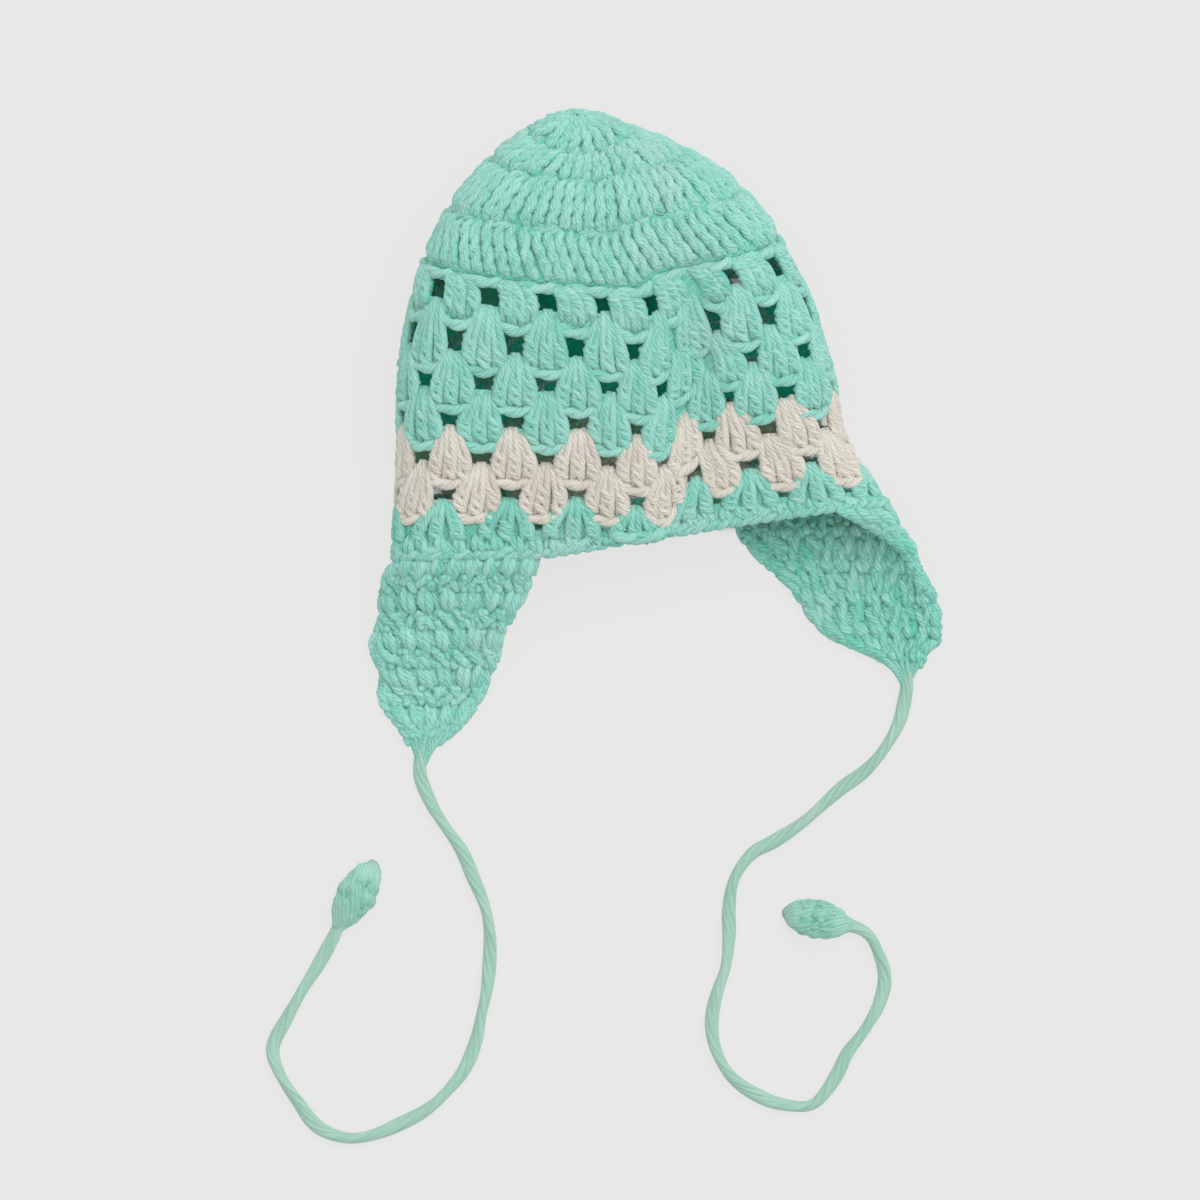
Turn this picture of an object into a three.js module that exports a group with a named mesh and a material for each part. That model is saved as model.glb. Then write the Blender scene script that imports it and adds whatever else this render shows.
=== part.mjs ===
// Baby's crocheted cap with two ear flaps and tie cords, lying on its back.
// Millimetres. +Z is up, +Y points from the rim to the top of the crown, and z = 0 is the surface under it.
// The origin is the middle of the cap's footprint, cords and bobbles left out.
import * as THREE from 'three';

// Driving dimensions
const WALL = 4.5; // knitted wall
const GAP = 0.3; // clearance between neighbouring pieces
const CLUSTERS = 16; // fan clusters in one round
const CORD_DIAMETER = 4.8;
const CORD_SIDES = 8;
const CORD_STEPS = 32;
const HOLE_HALF_WIDTH = 0.15; // in cluster pitches
const SEAM_HOLE_HALF_WIDTH = 0.03;
const ZIGZAG = 0.4; // how far the clusters of two colours reach past their seam, in rows
const FLAP_COLUMNS = 14;
const FLAP_ROWS = 9;
const CURVE_SAMPLES = 40; // places along a flap's section that are tried for its turn

// Yarn colours
const MINT = 0x96d9bd;
const MINT_CORD = 0x93cbb1;
const OFF_WHITE = 0xdbd0c8;

// Each round of the cap: where its front crosses the middle, where it crosses the sides,
// its left and right edges, its highest and lowest points, the step of the joining seam,
// how much higher the right edge lies than the left, the seam's place and the valley's depth,
// then how many pitches of cloth the seam adds and where the middle of them lies, in pitches.
const ROUND_COLUMNS = [
  'frontY', 'sideY', 'leftX', 'rightX', 'topZ', 'bottomZ', 'seamStep', 'rightRise', 'seamX', 'valley',
  'stretch', 'stretchMiddle',
];
const ROUNDS = [
  [114.2, 114.2, -28.5, -28.5, 22, 22, 0, 0, -28.5, 0, 0, 0.25], // 0 top of the crown
  [98.6, 106.4, -46.5, -8.5, 33, 10, 1, 0, -20, 0, 0, 0.25], // 1 end of the first crown round
  [88.6, 96.5, -60.0, 10.0, 40, 3, 2, 3, -18, 0, 0, 0.25], // 2 end of the second
  [69.8, 79.0, -74.8, 31.0, 46, 0, 3, 6.5, -16.5, 0, 0, 0.25], // 3 end of the third
  [51.0, 61.0, -83.6, 44.0, 47, 0, 3.6, 8.5, -8, 1, 0.45, 0.47], // 4 start of the open rows
  [43.8, 53.6, -86.9, 48.0, 46.5, 0, 3.8, 9, -1.5, 2, 0.5, 0.5], // 5 holes of row 1
  [28.1, 34.9, -90.9, 56.3, 44, 0, 6.5, 11, 1, 5, 0.45, 0.48], // 6 holes of row 2
  [14.2, 18.4, -93.4, 61.0, 41, 0, 7, 12, 2.3, 6, 0.55, 0.52], // 7 holes of row 3
  [1.0, 4.0, -93.8, 65.0, 38, 0, 7, 12.5, 2.3, 6, 0.62, 0.56], // 8 holes of row 4
  [-12.0, -10.1, -93.8, 66.5, 35, 0, 7.5, 13.5, 2.3, 4, 0.83, 0.74], // 9 holes of row 5
  [-24.2, -23.8, -94.5, 72.5, 32, 0, 7.5, 15, 2.3, 1.5, 0.97, 0.55], // 10 holes of row 6
  [-36.1, -36.4, -95.2, 80.0, 29, 0, 7.5, 16, 2.3, 0, 0.97, 0.9], // 11 holes of row 7
  [-46.4, -47.2, -95.6, 83.8, 27, 0, 0, 22, 4, 0, 0.97, 0.73], // 12 rim
];

// Where each piece of the cap starts and ends, counted in rounds
const CROWN_END = 4;
const LACE_END = 8.5;
const WHITE_END = 10.5;
const RIM = 12;
const HOLE_HALF_HEIGHT = 0.18; // in rows
const LAST_HOLE_ROUND = 11;
const FIRST_SEAM_HOLE = 9; // from this round down the seam's cloth has a hole of its own

// Shape of one round
const SHOULDER = 22; // how far in from its sides the front rounds over
const SHOULDER_SHARE = 0.75; // the rest of the height is an even dome
const HEEL = 24; // how far in from its sides the back reaches the surface
const MIDDLE_HEIGHT = 0.47; // of the widest place, as a share of the height
const SEAM_GATHER = 0.12; // how much closer the clusters stand beside the seam
const SEAM_FOCUS = 2;
const VALLEY_X = 13; // the long fold beside the seam
const VALLEY_WIDTH = 9;
const RIGHT_EDGE_PITCHES = 3.9; // clusters from the seam to the right edge
const EARLY_CLIMB = 2; // clusters before the seam where the rim starts to climb
const SEAM_TURN_LIMIT = 0.9; // how far from the middle the seam may stand, as a share of half the width
const GATHER_MIDDLE = 0.3; // pitches from the seam
const STEP_FROM = -0.15; // pitches from the seam where its step starts and ends
const STEP_TO = 0.6;
const STRETCH_FROM = 0.15; // clusters between which the seam's own cloth lies, with its middle cluster place
const STRETCH_MIDDLE = 0.25;
const STRETCH_TO = 0.35;
const STRETCH_EASE_FROM = 3; // pitches from the seam over which the clusters come back to even steps
const STRETCH_EASE_TO = 10;
const SAG_SHARE = 0.35; // how far the rounds sag beside the seam, as a share of its step
const SAG_MIDDLE = -0.3; // pitches from the seam
const SAG_WIDTH = 0.6;
const FRONT_LEAN = 1.5; // how sharply the front's rounds bend down from the sides
const BACK_LEAN = 0.8; // how far the back's rounds bend the other way
const TURN_STEPS = 240;
const FACING_STEP = 0.05; // rounds and pitches between the points that give the wall's direction
const EDGE_MARGIN = 0.1; // rounds kept from the crown's top and the rim there

// Flap sections below the rim: where each starts, how it turns at the fold, and where it ends.
// The left flap's sections run from its hidden back edge, the right flap's from its front edge.
const FLAP_COLUMNS_OF_TABLE = [
  'startX', 'startY', 'startZ', 'startHandleZ', 'foldX', 'foldAt', 'endHandleZ', 'endX', 'endY', 'endZ',
];
const LEFT_FLAP = {
  from: -5.65,
  to: -2.05,
  sections: [
    [-88, -60, 0, 0, -99.4, 0.34, 22, -46.8, -58.7, 21],
    [-97, -79.6, 1, 1.5, -101.7, 0.18, 12.5, -55.8, -78.8, 12],
    [-99.2, -97.6, 3.6, 4.6, -99.2, 0, 7, -63.9, -97.6, 6.5],
    [-92, -107.6, 4.5, 5, -92, 0, 5.2, -71.5, -107.6, 5],
    [-88, -114.6, 4.6, 4.7, -88, 0, 4.7, -81.2, -114.6, 4.6],
  ],
};
const RIGHT_FLAP = {
  from: 2.6,
  to: 6.2,
  sections: [
    [87, -44.3, 15, 16, 91.6, 0.22, 0, 33.2, -44.6, 0],
    [96.8, -61.6, 9, 8, 99, 0.08, 0, 50.2, -62.3, 0],
    [99.6, -76, 5, 2, 100.6, 0.04, 0, 64.6, -76.3, 0],
    [96.4, -81.7, 1.5, 0, 96.4, 0, 0, 77.6, -82.1, 0],
    [94.1, -86, 0.2, 0, 94.1, 0, 0, 87.1, -86, 0],
  ],
};

// Routes of the ties over the surface, from the flap's tip to the bobble
const LEFT_ROUTE = [
  [-85, -115], [-85, -125], [-81, -135], [-76, -143], [-70, -152], [-66, -161], [-62, -171], [-60, -181],
  [-60, -191], [-61, -201], [-63, -211], [-65, -220], [-69, -230], [-75, -238], [-83, -245], [-92, -250],
  [-102, -254], [-112, -255], [-122, -251], [-129, -242], [-135, -233], [-138, -223], [-133, -212],
  [-128, -203], [-123, -195], [-118, -186], [-115, -180],
];
const RIGHT_ROUTE = [
  [90.6, -87.4], [89.5, -96], [87, -106], [82, -115], [75, -123], [67, -129], [59, -136], [52, -142],
  [43, -148], [34, -153], [28, -162], [26, -172], [26, -183], [25, -193], [22, -202], [20, -212], [21, -222],
  [26, -232], [35, -239], [45, -243], [56, -243], [64, -234], [69, -224], [75, -216], [80, -207],
  [82, -197], [79, -186.5], [76.8, -182.6], [73.6, -180.2], [70.9, -179.1],
];

// Bobbles: where each lies and its outline from the cord to the point, as share of length and half width
const LEFT_BUD = { base: [-115, -179.6], tip: [-101, -155.5] };
const RIGHT_BUD = { base: [70.3, -178.9], tip: [45.2, -173.6] };
const BUD_OUTLINE = [
  [0, 2.4], [0.12, 4.6], [0.3, 7.2], [0.5, 7.9], [0.7, 6.6], [0.88, 3.8], [1, 1.2],
];
const BUD_SIDES = 12;
const BUD_FLATNESS = 0.78; // height over width

// A smooth curve through evenly spaced values that never overshoots them
function smoothThrough(values, at) {
  const last = values.length - 1;
  const i = Math.min(Math.max(Math.floor(at), 0), last - 1);
  const t = at - i;
  const rise = (k) => values[k + 1] - values[k];
  const slope = (k) => {
    if (k === 0) return rise(0);
    if (k === last) return rise(last - 1);
    const before = rise(k - 1);
    const after = rise(k);
    return before * after > 0 ? (2 * before * after) / (before + after) : 0;
  };
  const t2 = t * t;
  const t3 = t2 * t;
  return (
    values[i] * (2 * t3 - 3 * t2 + 1) + slope(i) * (t3 - 2 * t2 + t)
    + values[i + 1] * (3 * t2 - 2 * t3) + slope(i + 1) * (t3 - t2)
  );
}

const smoothStep = (low, high, x) => {
  const t = Math.min(Math.max((x - low) / (high - low), 0), 1);
  return t * t * (3 - 2 * t);
};

// Sizes of the round at v, where v counts rounds from the top of the crown
function roundAt(v) {
  const size = {};
  ROUND_COLUMNS.forEach((name, column) => {
    size[name] = smoothThrough(ROUNDS.map((row) => row[column]), v);
  });
  size.earlyClimb = EARLY_CLIMB * smoothStep(LAST_HOLE_ROUND, RIM, v);
  size.middleX = (size.leftX + size.rightX) / 2;
  size.halfWidth = (size.rightX - size.leftX) / 2;
  size.middleZ = size.bottomZ + MIDDLE_HEIGHT * (size.topZ - size.bottomZ);
  return size;
}

// How far a round corner of the given width has turned, from 0 at the side to 1
function corner(size, angle, width) {
  const inwards = size.halfWidth * (1 - Math.abs(Math.cos(angle)));
  const left = 1 - Math.min(inwards / Math.max(Math.min(width, size.halfWidth), 1e-6), 1);
  return Math.sqrt(1 - left * left);
}

// A point of the round's outline, at an angle from its right edge up over the front
function sectionPoint(size, angle) {
  const up = Math.sin(angle);
  const x = size.middleX + size.halfWidth * Math.cos(angle);
  if (up < 0) {
    return [x, size.middleZ - (size.middleZ - size.bottomZ) * corner(size, angle, HEEL)];
  }
  const rise = SHOULDER_SHARE * corner(size, angle, SHOULDER) + (1 - SHOULDER_SHARE) * up;
  return [x, size.middleZ + (size.topZ - size.middleZ) * rise];
}

// Angles of evenly spaced places round the cap, starting at the seam and going to the right
const turns = new Map();
function turnAt(v) {
  const key = v.toFixed(5);
  if (turns.has(key)) return turns.get(key);
  const size = roundAt(v);
  const share = (size.seamX - size.middleX) / Math.max(size.halfWidth, 1e-6);
  const start = Math.acos(Math.min(Math.max(share, -SEAM_TURN_LIMIT), SEAM_TURN_LIMIT));
  const angles = [];
  const lengths = [0];
  let last = null;
  for (let k = 0; k <= TURN_STEPS; k += 1) {
    const angle = start - (2 * Math.PI * k) / TURN_STEPS;
    const point = sectionPoint(size, angle);
    if (last) lengths.push(lengths[k - 1] + Math.hypot(point[0] - last[0], point[1] - last[1]));
    angles.push(angle);
    last = point;
  }
  const turn = { size, angles, lengths };
  turns.set(key, turn);
  return turn;
}

function wrapPitches(u) {
  return ((u % CLUSTERS) + CLUSTERS) % CLUSTERS;
}

// How much the right side of a round is lifted, u pitches from the seam. The rim climbs from further left.
function lift(size, u) {
  const early = size.earlyClimb;
  const sag = SAG_SHARE * size.seamStep * Math.exp(-(((u - SAG_MIDDLE) / SAG_WIDTH) ** 2));
  const step = size.seamStep * smoothStep(STEP_FROM, STEP_TO, u) - sag;
  const share = Math.max((u + early) / (RIGHT_EDGE_PITCHES + early), 0);
  const climb = (size.rightRise - size.seamStep) * share;
  if (u <= RIGHT_EDGE_PITCHES) return step + climb;
  const back = (u - RIGHT_EDGE_PITCHES) / (CLUSTERS - 2 * RIGHT_EDGE_PITCHES);
  return size.rightRise * (1 - smoothStep(0, 1, back));
}

// A point of the cap's outer face: v rounds down from the top, u cluster pitches from the seam to the right
function capPoint(v, u) {
  const { size, angles, lengths } = turnAt(v);
  const around = (2 * Math.PI * (u - GATHER_MIDDLE)) / CLUSTERS;
  const gather = Math.sin(around) * Math.exp(SEAM_FOCUS * (Math.cos(around) - 1));
  const even = wrapPitches(u - (SEAM_GATHER * CLUSTERS * gather) / (2 * Math.PI));
  const wanted = (even / CLUSTERS) * lengths[TURN_STEPS];
  let k = 1;
  while (k < TURN_STEPS && lengths[k] < wanted) k += 1;
  const span = Math.max(lengths[k] - lengths[k - 1], 1e-9);
  const angle = angles[k - 1] + ((wanted - lengths[k - 1]) / span) * (angles[k] - angles[k - 1]);
  const [x, flatZ] = sectionPoint(size, angle);
  const up = Math.sin(angle);
  const valley = up > 0 ? size.valley * up * Math.exp(-(((x - VALLEY_X) / VALLEY_WIDTH) ** 2)) : 0;
  const lean = up > 0 ? up ** FRONT_LEAN : -BACK_LEAN * corner(size, angle, HEEL);
  const fromSeam = wrapPitches(u + EARLY_CLIMB) - EARLY_CLIMB;
  const y = size.sideY + (size.frontY - size.sideY) * lean + lift(size, fromSeam);
  return new THREE.Vector3(x, y, flatZ - valley);
}

// Where a place counted in clusters lies along its round, in pitches: the seam adds its own cloth
function alongRound(v, clusters) {
  const { stretch, stretchMiddle } = turnAt(v).size;
  const fromSeam = wrapPitches(clusters + EARLY_CLIMB) - EARLY_CLIMB;
  const eased = 1 - smoothStep(STRETCH_EASE_FROM, STRETCH_EASE_TO, fromSeam);
  const between = (a, b, low, high) => a + ((fromSeam - low) / (high - low)) * (b - a);
  const half = stretchMiddle - STRETCH_MIDDLE;
  if (fromSeam <= STRETCH_FROM) return clusters;
  if (fromSeam <= STRETCH_MIDDLE) return clusters + between(0, half, STRETCH_FROM, STRETCH_MIDDLE);
  if (fromSeam <= STRETCH_TO) return clusters + between(half, stretch, STRETCH_MIDDLE, STRETCH_TO);
  return clusters + stretch * eased;
}

// The outward direction of a face point(along, down), found from its neighbours
function facing(point, down, along, step) {
  const across = point(down, along + step).sub(point(down, along - step));
  const below = point(down + step, along).sub(point(down - step, along));
  return below.cross(across).normalize();
}

// Outer and inner points at one place of the cap's wall
function capWall(v, u) {
  const outer = capPoint(v, u);
  const near = Math.min(Math.max(v, EDGE_MARGIN), RIM - EDGE_MARGIN);
  const away = facing(capPoint, near, u, FACING_STEP);
  return { outer, inner: outer.clone().addScaledVector(away, -WALL) };
}

// A closed wall from rows of outer and inner points. Cells named as holes are cut right through.
function wallGeometry(rows, { round, pole = false, isHole = () => false }) {
  const columns = rows[0].length;
  const cellColumns = round ? columns : columns - 1;
  const cellRows = rows.length - 1;
  const positions = [];
  const place = (point) => {
    positions.push(point.x, point.y, point.z);
    return positions.length / 3 - 1;
  };
  const ids = rows.map((row, r) => {
    if (pole && r === 0) {
      const tip = { outer: place(row[0].outer), inner: place(row[0].inner) };
      return row.map(() => tip);
    }
    return row.map((pair) => ({ outer: place(pair.outer), inner: place(pair.inner) }));
  });
  const id = (r, c) => ids[r][round ? (c + columns) % columns : c];
  const index = [];
  const triangle = (a, b, c) => {
    if (a !== b && b !== c && c !== a) index.push(a, b, c);
  };
  const quad = (a, b, c, d) => {
    triangle(a, b, c);
    triangle(a, c, d);
  };
  const solid = (r, c) => {
    if (r < 0 || r >= cellRows) return false;
    if (!round && (c < 0 || c >= cellColumns)) return false;
    return !isHole(r, round ? (c + cellColumns) % cellColumns : c);
  };
  // Facing edges of two neighbours are split along the same diagonal, so that they stay parallel
  const lowerEdge = (a, b) => quad(a.outer, a.inner, b.inner, b.outer);
  const upperEdge = (a, b) => quad(b.inner, a.inner, a.outer, b.outer);
  for (let r = 0; r < cellRows; r += 1) {
    for (let c = 0; c < cellColumns; c += 1) {
      if (!solid(r, c)) continue;
      const [a, b, d, e] = [id(r, c), id(r, c + 1), id(r + 1, c + 1), id(r + 1, c)];
      quad(a.outer, e.outer, d.outer, b.outer);
      quad(a.inner, b.inner, d.inner, e.inner);
      if (!solid(r - 1, c) && a !== b) upperEdge(a, b);
      if (!solid(r + 1, c)) lowerEdge(e, d);
      if (!solid(r, c - 1)) lowerEdge(a, e);
      if (!solid(r, c + 1)) lowerEdge(d, b);
    }
  }
  const geometry = new THREE.BufferGeometry();
  geometry.setAttribute('position', new THREE.Float32BufferAttribute(positions, 3));
  geometry.setIndex(volume(positions, index) < 0 ? index.reverse() : index);
  geometry.computeVertexNormals();
  return geometry;
}

function volume(positions, index) {
  const corner = (i) => new THREE.Vector3().fromArray(positions, 3 * index[i]);
  let sum = 0;
  for (let i = 0; i < index.length; i += 3) {
    sum += corner(i).dot(corner(i + 1).cross(corner(i + 2)));
  }
  return sum / 6;
}

// Places round the cap: both edges of each hole of the odd rows, of the even rows and of the seam's own
const HALF_PITCHES = Array.from({ length: 2 * CLUSTERS }, (_, k) => k / 2);
const PLACES = HALF_PITCHES.flatMap((u) => [u - HOLE_HALF_WIDTH, u + HOLE_HALF_WIDTH]);
PLACES.push(STRETCH_MIDDLE - SEAM_HOLE_HALF_WIDTH, STRETCH_MIDDLE + SEAM_HOLE_HALF_WIDTH);
PLACES.sort((a, b) => a - b);

// The zigzag seam between two yarn colours: the lower clusters' tips stand on half pitches or whole ones
const zigzag = (end, tipAt) => (u) => end - (ZIGZAG / 2) * Math.cos(2 * Math.PI * (u - tipAt));
const straight = (end) => () => end;

// The wall's points along one level, moved down the wall by shift millimetres
function levelPoints({ at, shift }) {
  return PLACES.map((clusters) => {
    const v = at(clusters);
    const u = alongRound(v, clusters);
    const pair = capWall(v, u);
    if (!shift) return pair;
    const low = Math.min(v + FACING_STEP, RIM);
    const above = capPoint(low - 2 * FACING_STEP, u);
    const down = capPoint(low, u).sub(above).normalize().multiplyScalar(shift);
    return { outer: pair.outer.add(down), inner: pair.inner.add(down) };
  });
}

// One band of the cap between two seams, with its rows of holes
function band(top, bottom, holeRounds) {
  const levels = [{ at: top, shift: GAP / 2, holesBelow: 0 }];
  holeRounds.forEach((n) => {
    levels.push({ at: straight(n - HOLE_HALF_HEIGHT), shift: 0, holesBelow: n });
    levels.push({ at: straight(n + HOLE_HALF_HEIGHT), shift: 0, holesBelow: 0 });
  });
  levels.push({ at: bottom, shift: -GAP / 2, holesBelow: 0 });
  const isHole = (r, c) => {
    const n = levels[r].holesBelow;
    if (n === 0 || c + 1 === PLACES.length) return false;
    const middle = (PLACES[c] + PLACES[c + 1]) / 2;
    const fromHole = middle - (n % 2 === 1 ? 0 : 0.5);
    if (Math.abs(fromHole - Math.round(fromHole)) < HOLE_HALF_WIDTH) return true;
    return n >= FIRST_SEAM_HOLE && Math.abs(middle - STRETCH_MIDDLE) < SEAM_HOLE_HALF_WIDTH;
  };
  return wallGeometry(levels.map(levelPoints), { round: true, isHole });
}

// The crown: rounds of solid stitches from the closed top down
const CROWN_LEVELS = [0, 0.45, 1, 1.5, 2, 2.5, 3, 3.5];
function crown() {
  const rows = CROWN_LEVELS.map((v) => levelPoints({ at: straight(v), shift: 0 }));
  rows.push(levelPoints({ at: straight(CROWN_END), shift: -GAP / 2 }));
  return wallGeometry(rows, { round: true, pole: true });
}

// A cubic curve's weights where the sections of the flaps turn, at about 0.45 of its way
const START_SHARE = 0.166;
const END_SHARE = 0.091;
const HANDLE_SHARE = 1 - START_SHARE - END_SHARE;

// One section of a flap as a curve from its first edge round the fold to its second
function flapSection(row) {
  const s = Object.fromEntries(FLAP_COLUMNS_OF_TABLE.map((name, k) => [name, row[k]]));
  const folded = s.foldAt > 0;
  // The handle that takes a cubic curve's turn out to the fold
  const handle = (s.foldX - START_SHARE * s.startX - END_SHARE * s.endX) / HANDLE_SHARE;
  const nearStart = folded ? handle : s.startX + (s.endX - s.startX) / 3;
  const nearEnd = folded ? handle : s.startX + (2 * (s.endX - s.startX)) / 3;
  const curve = new THREE.CubicBezierCurve3(
    new THREE.Vector3(s.startX, s.startY, s.startZ),
    new THREE.Vector3(nearStart, s.startY, s.startHandleZ),
    new THREE.Vector3(nearEnd, s.endY, s.endHandleZ),
    new THREE.Vector3(s.endX, s.endY, s.endZ),
  );
  const xAt = (share) => Math.abs(curve.getPointAt(share).x);
  const shares = Array.from({ length: CURVE_SAMPLES + 1 }, (_, k) => k / CURVE_SAMPLES);
  const turn = folded ? shares.reduce((best, share) => (xAt(share) > xAt(best) ? share : best), 0) : 0;
  return (across) => {
    const t = Math.min(Math.max(across, 0), 1);
    if (!folded) return curve.getPointAt(t);
    if (t < s.foldAt) return curve.getPointAt((t / s.foldAt) * turn);
    return curve.getPointAt(turn + ((t - s.foldAt) / (1 - s.foldAt)) * (1 - turn));
  };
}

// A flap's outer face: across runs from its first edge to its second, down from the rim to the tip
function flapFace(flap) {
  const sections = flap.sections.map(flapSection);
  return (down, across) => {
    const root = capPoint(RIM, flap.from + across * (flap.to - flap.from));
    const line = new THREE.CatmullRomCurve3([root, ...sections.map((section) => section(across))]);
    return line.getPoint(Math.min(Math.max(down, 0), 1));
  };
}

// Shares of a flap's length and width between the points that give its direction, and kept from its edges
const FLAP_STEP = 0.02;
const FLAP_END_MARGIN = 0.04;
const FLAP_EDGE_MARGIN = 0.03;

function earFlap(flap) {
  const face = flapFace(flap);
  const rows = [];
  for (let r = 0; r <= FLAP_ROWS; r += 1) {
    const down = r / FLAP_ROWS;
    const row = [];
    for (let c = 0; c <= FLAP_COLUMNS; c += 1) {
      const across = c / FLAP_COLUMNS;
      if (r === 0) {
        const u = flap.from + across * (flap.to - flap.from);
        const { outer, inner } = capWall(RIM, u);
        const above = capPoint(RIM - EDGE_MARGIN, u);
        const step = outer.clone().sub(above).normalize().multiplyScalar(GAP);
        row.push({ outer: outer.add(step), inner: inner.add(step) });
      } else {
        const outer = face(down, across);
        const nearDown = Math.min(down, 1 - FLAP_END_MARGIN);
        const nearAcross = Math.min(Math.max(across, FLAP_EDGE_MARGIN), 1 - FLAP_EDGE_MARGIN);
        const away = facing(face, nearDown, nearAcross, FLAP_STEP);
        const inner = outer.clone().addScaledVector(away, -WALL);
        [outer, inner].forEach((point) => point.setZ(Math.max(point.z, 0)));
        row.push({ outer, inner });
      }
    }
    rows.push(row);
  }
  return wallGeometry(rows, { round: false });
}

function tieCord(route) {
  const radius = CORD_DIAMETER / 2;
  const path = new THREE.CatmullRomCurve3(route.map(([x, y]) => new THREE.Vector3(x, y, radius)));
  const section = new THREE.Shape();
  for (let k = 0; k < CORD_SIDES; k += 1) {
    const angle = (2 * Math.PI * k) / CORD_SIDES;
    const x = radius * Math.cos(angle);
    const y = radius * Math.sin(angle);
    if (k === 0) section.moveTo(x, y);
    else section.lineTo(x, y);
  }
  return new THREE.ExtrudeGeometry(section, { steps: CORD_STEPS, extrudePath: path });
}

// A bobble that lies on the surface along its whole length
function bud({ base, tip }) {
  const along = new THREE.Vector3(tip[0] - base[0], tip[1] - base[1], 0);
  const across = new THREE.Vector3(-along.y, along.x, 0).normalize();
  const positions = [];
  const index = [];
  BUD_OUTLINE.forEach(([share, halfWidth], ring) => {
    const halfHeight = halfWidth * (ring === 0 ? 1 : BUD_FLATNESS);
    for (let k = 0; k < BUD_SIDES; k += 1) {
      const angle = (2 * Math.PI * k) / BUD_SIDES;
      const point = new THREE.Vector3(base[0], base[1], halfHeight + halfHeight * Math.sin(angle));
      point.addScaledVector(along, share).addScaledVector(across, halfWidth * Math.cos(angle));
      positions.push(point.x, point.y, point.z);
    }
  });
  const rings = BUD_OUTLINE.length;
  for (let ring = 0; ring + 1 < rings; ring += 1) {
    for (let k = 0; k < BUD_SIDES; k += 1) {
      const a = ring * BUD_SIDES + k;
      const b = ring * BUD_SIDES + ((k + 1) % BUD_SIDES);
      index.push(a, b, b + BUD_SIDES, a, b + BUD_SIDES, a + BUD_SIDES);
    }
  }
  for (let k = 1; k + 1 < BUD_SIDES; k += 1) {
    const end = (rings - 1) * BUD_SIDES;
    index.push(0, k + 1, k, end, end + k, end + k + 1);
  }
  const geometry = new THREE.BufferGeometry();
  geometry.setAttribute('position', new THREE.Float32BufferAttribute(positions, 3));
  geometry.setIndex(volume(positions, index) < 0 ? index.reverse() : index);
  geometry.computeVertexNormals();
  return geometry;
}

const cap = new THREE.Group();
cap.name = 'wool_cap';

function addPiece(name, geometry, color, roughness = 0.95) {
  const mesh = new THREE.Mesh(geometry, new THREE.MeshStandardMaterial({ color, roughness, metalness: 0 }));
  mesh.name = name;
  cap.add(mesh);
}

const TIP_AT = 0.5; // of the clusters below each seam, in pitches
const LACE_HOLES = [5, 6, 7, 8]; // rounds with holes
const WHITE_HOLES = [9, 10];
const whiteTips = zigzag(LACE_END, TIP_AT);
const brimTips = zigzag(WHITE_END, TIP_AT);

addPiece('crown', crown(), MINT);
addPiece('lace_body', band(straight(CROWN_END), whiteTips, LACE_HOLES), MINT);
addPiece('white_band', band(whiteTips, brimTips, WHITE_HOLES), OFF_WHITE);
addPiece('brim_band', band(brimTips, straight(RIM), [LAST_HOLE_ROUND]), MINT);
addPiece('ear_flap_left', earFlap(LEFT_FLAP), MINT);
addPiece('ear_flap_right', earFlap(RIGHT_FLAP), MINT);
addPiece('tie_left', tieCord(LEFT_ROUTE), MINT_CORD);
addPiece('tie_right', tieCord(RIGHT_ROUTE), MINT_CORD);
addPiece('bud_left', bud(LEFT_BUD), MINT);
addPiece('bud_right', bud(RIGHT_BUD), MINT);

export default cap;
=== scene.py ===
# Baby's crocheted cap with two ear flaps and tie cords: every piece is laid stitch by stitch in yarn.
# Sizes are millimetres in the CAD model's frame and turn into metres where a mesh is made.
import math

import bpy
import numpy as np
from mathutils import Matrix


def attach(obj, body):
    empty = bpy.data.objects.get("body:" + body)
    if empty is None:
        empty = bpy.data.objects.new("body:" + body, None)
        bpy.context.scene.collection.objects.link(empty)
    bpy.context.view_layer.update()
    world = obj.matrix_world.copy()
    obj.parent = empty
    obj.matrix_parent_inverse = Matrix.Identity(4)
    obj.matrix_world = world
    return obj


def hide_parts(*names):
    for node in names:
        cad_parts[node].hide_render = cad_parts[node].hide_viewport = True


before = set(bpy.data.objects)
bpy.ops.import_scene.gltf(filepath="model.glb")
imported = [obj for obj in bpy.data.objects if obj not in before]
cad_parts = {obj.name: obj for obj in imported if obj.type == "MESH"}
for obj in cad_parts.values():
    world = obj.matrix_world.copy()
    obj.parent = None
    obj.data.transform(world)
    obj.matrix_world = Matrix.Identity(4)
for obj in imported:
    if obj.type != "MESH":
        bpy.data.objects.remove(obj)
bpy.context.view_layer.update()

MM = 0.001
RANDOM = np.random.default_rng(11)

# The photograph: straight down, so that its pixels are even steps of the surface
PHOTO_SIZE = 1200
PIXEL = 0.36
CAMERA_PLACE = (-20.34, -61.56, 3000)
CAMERA_REACH = 20  # in metres
SENSOR = 36


def in_scene(name, data):
    """A new object of this data in the scene."""
    made = bpy.data.objects.new(name, data)
    bpy.context.scene.collection.objects.link(made)
    return made


def add_camera():
    data = bpy.data.cameras.new("camera")
    data.sensor_width = SENSOR
    data.lens = SENSOR * CAMERA_PLACE[2] / (PHOTO_SIZE * PIXEL)
    data.clip_end = CAMERA_REACH
    camera = in_scene("camera", data)
    camera.location = [x * MM for x in CAMERA_PLACE]
    bpy.context.scene.camera = camera


add_camera()


# Curves and directions

UP = (0.0, 0.0, 1.0)
NO_STEP = 1e-4  # points nearer than this count as one


def unit(vectors):
    return vectors / np.maximum(np.linalg.norm(vectors, axis=-1, keepdims=True), 1e-9)


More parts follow.
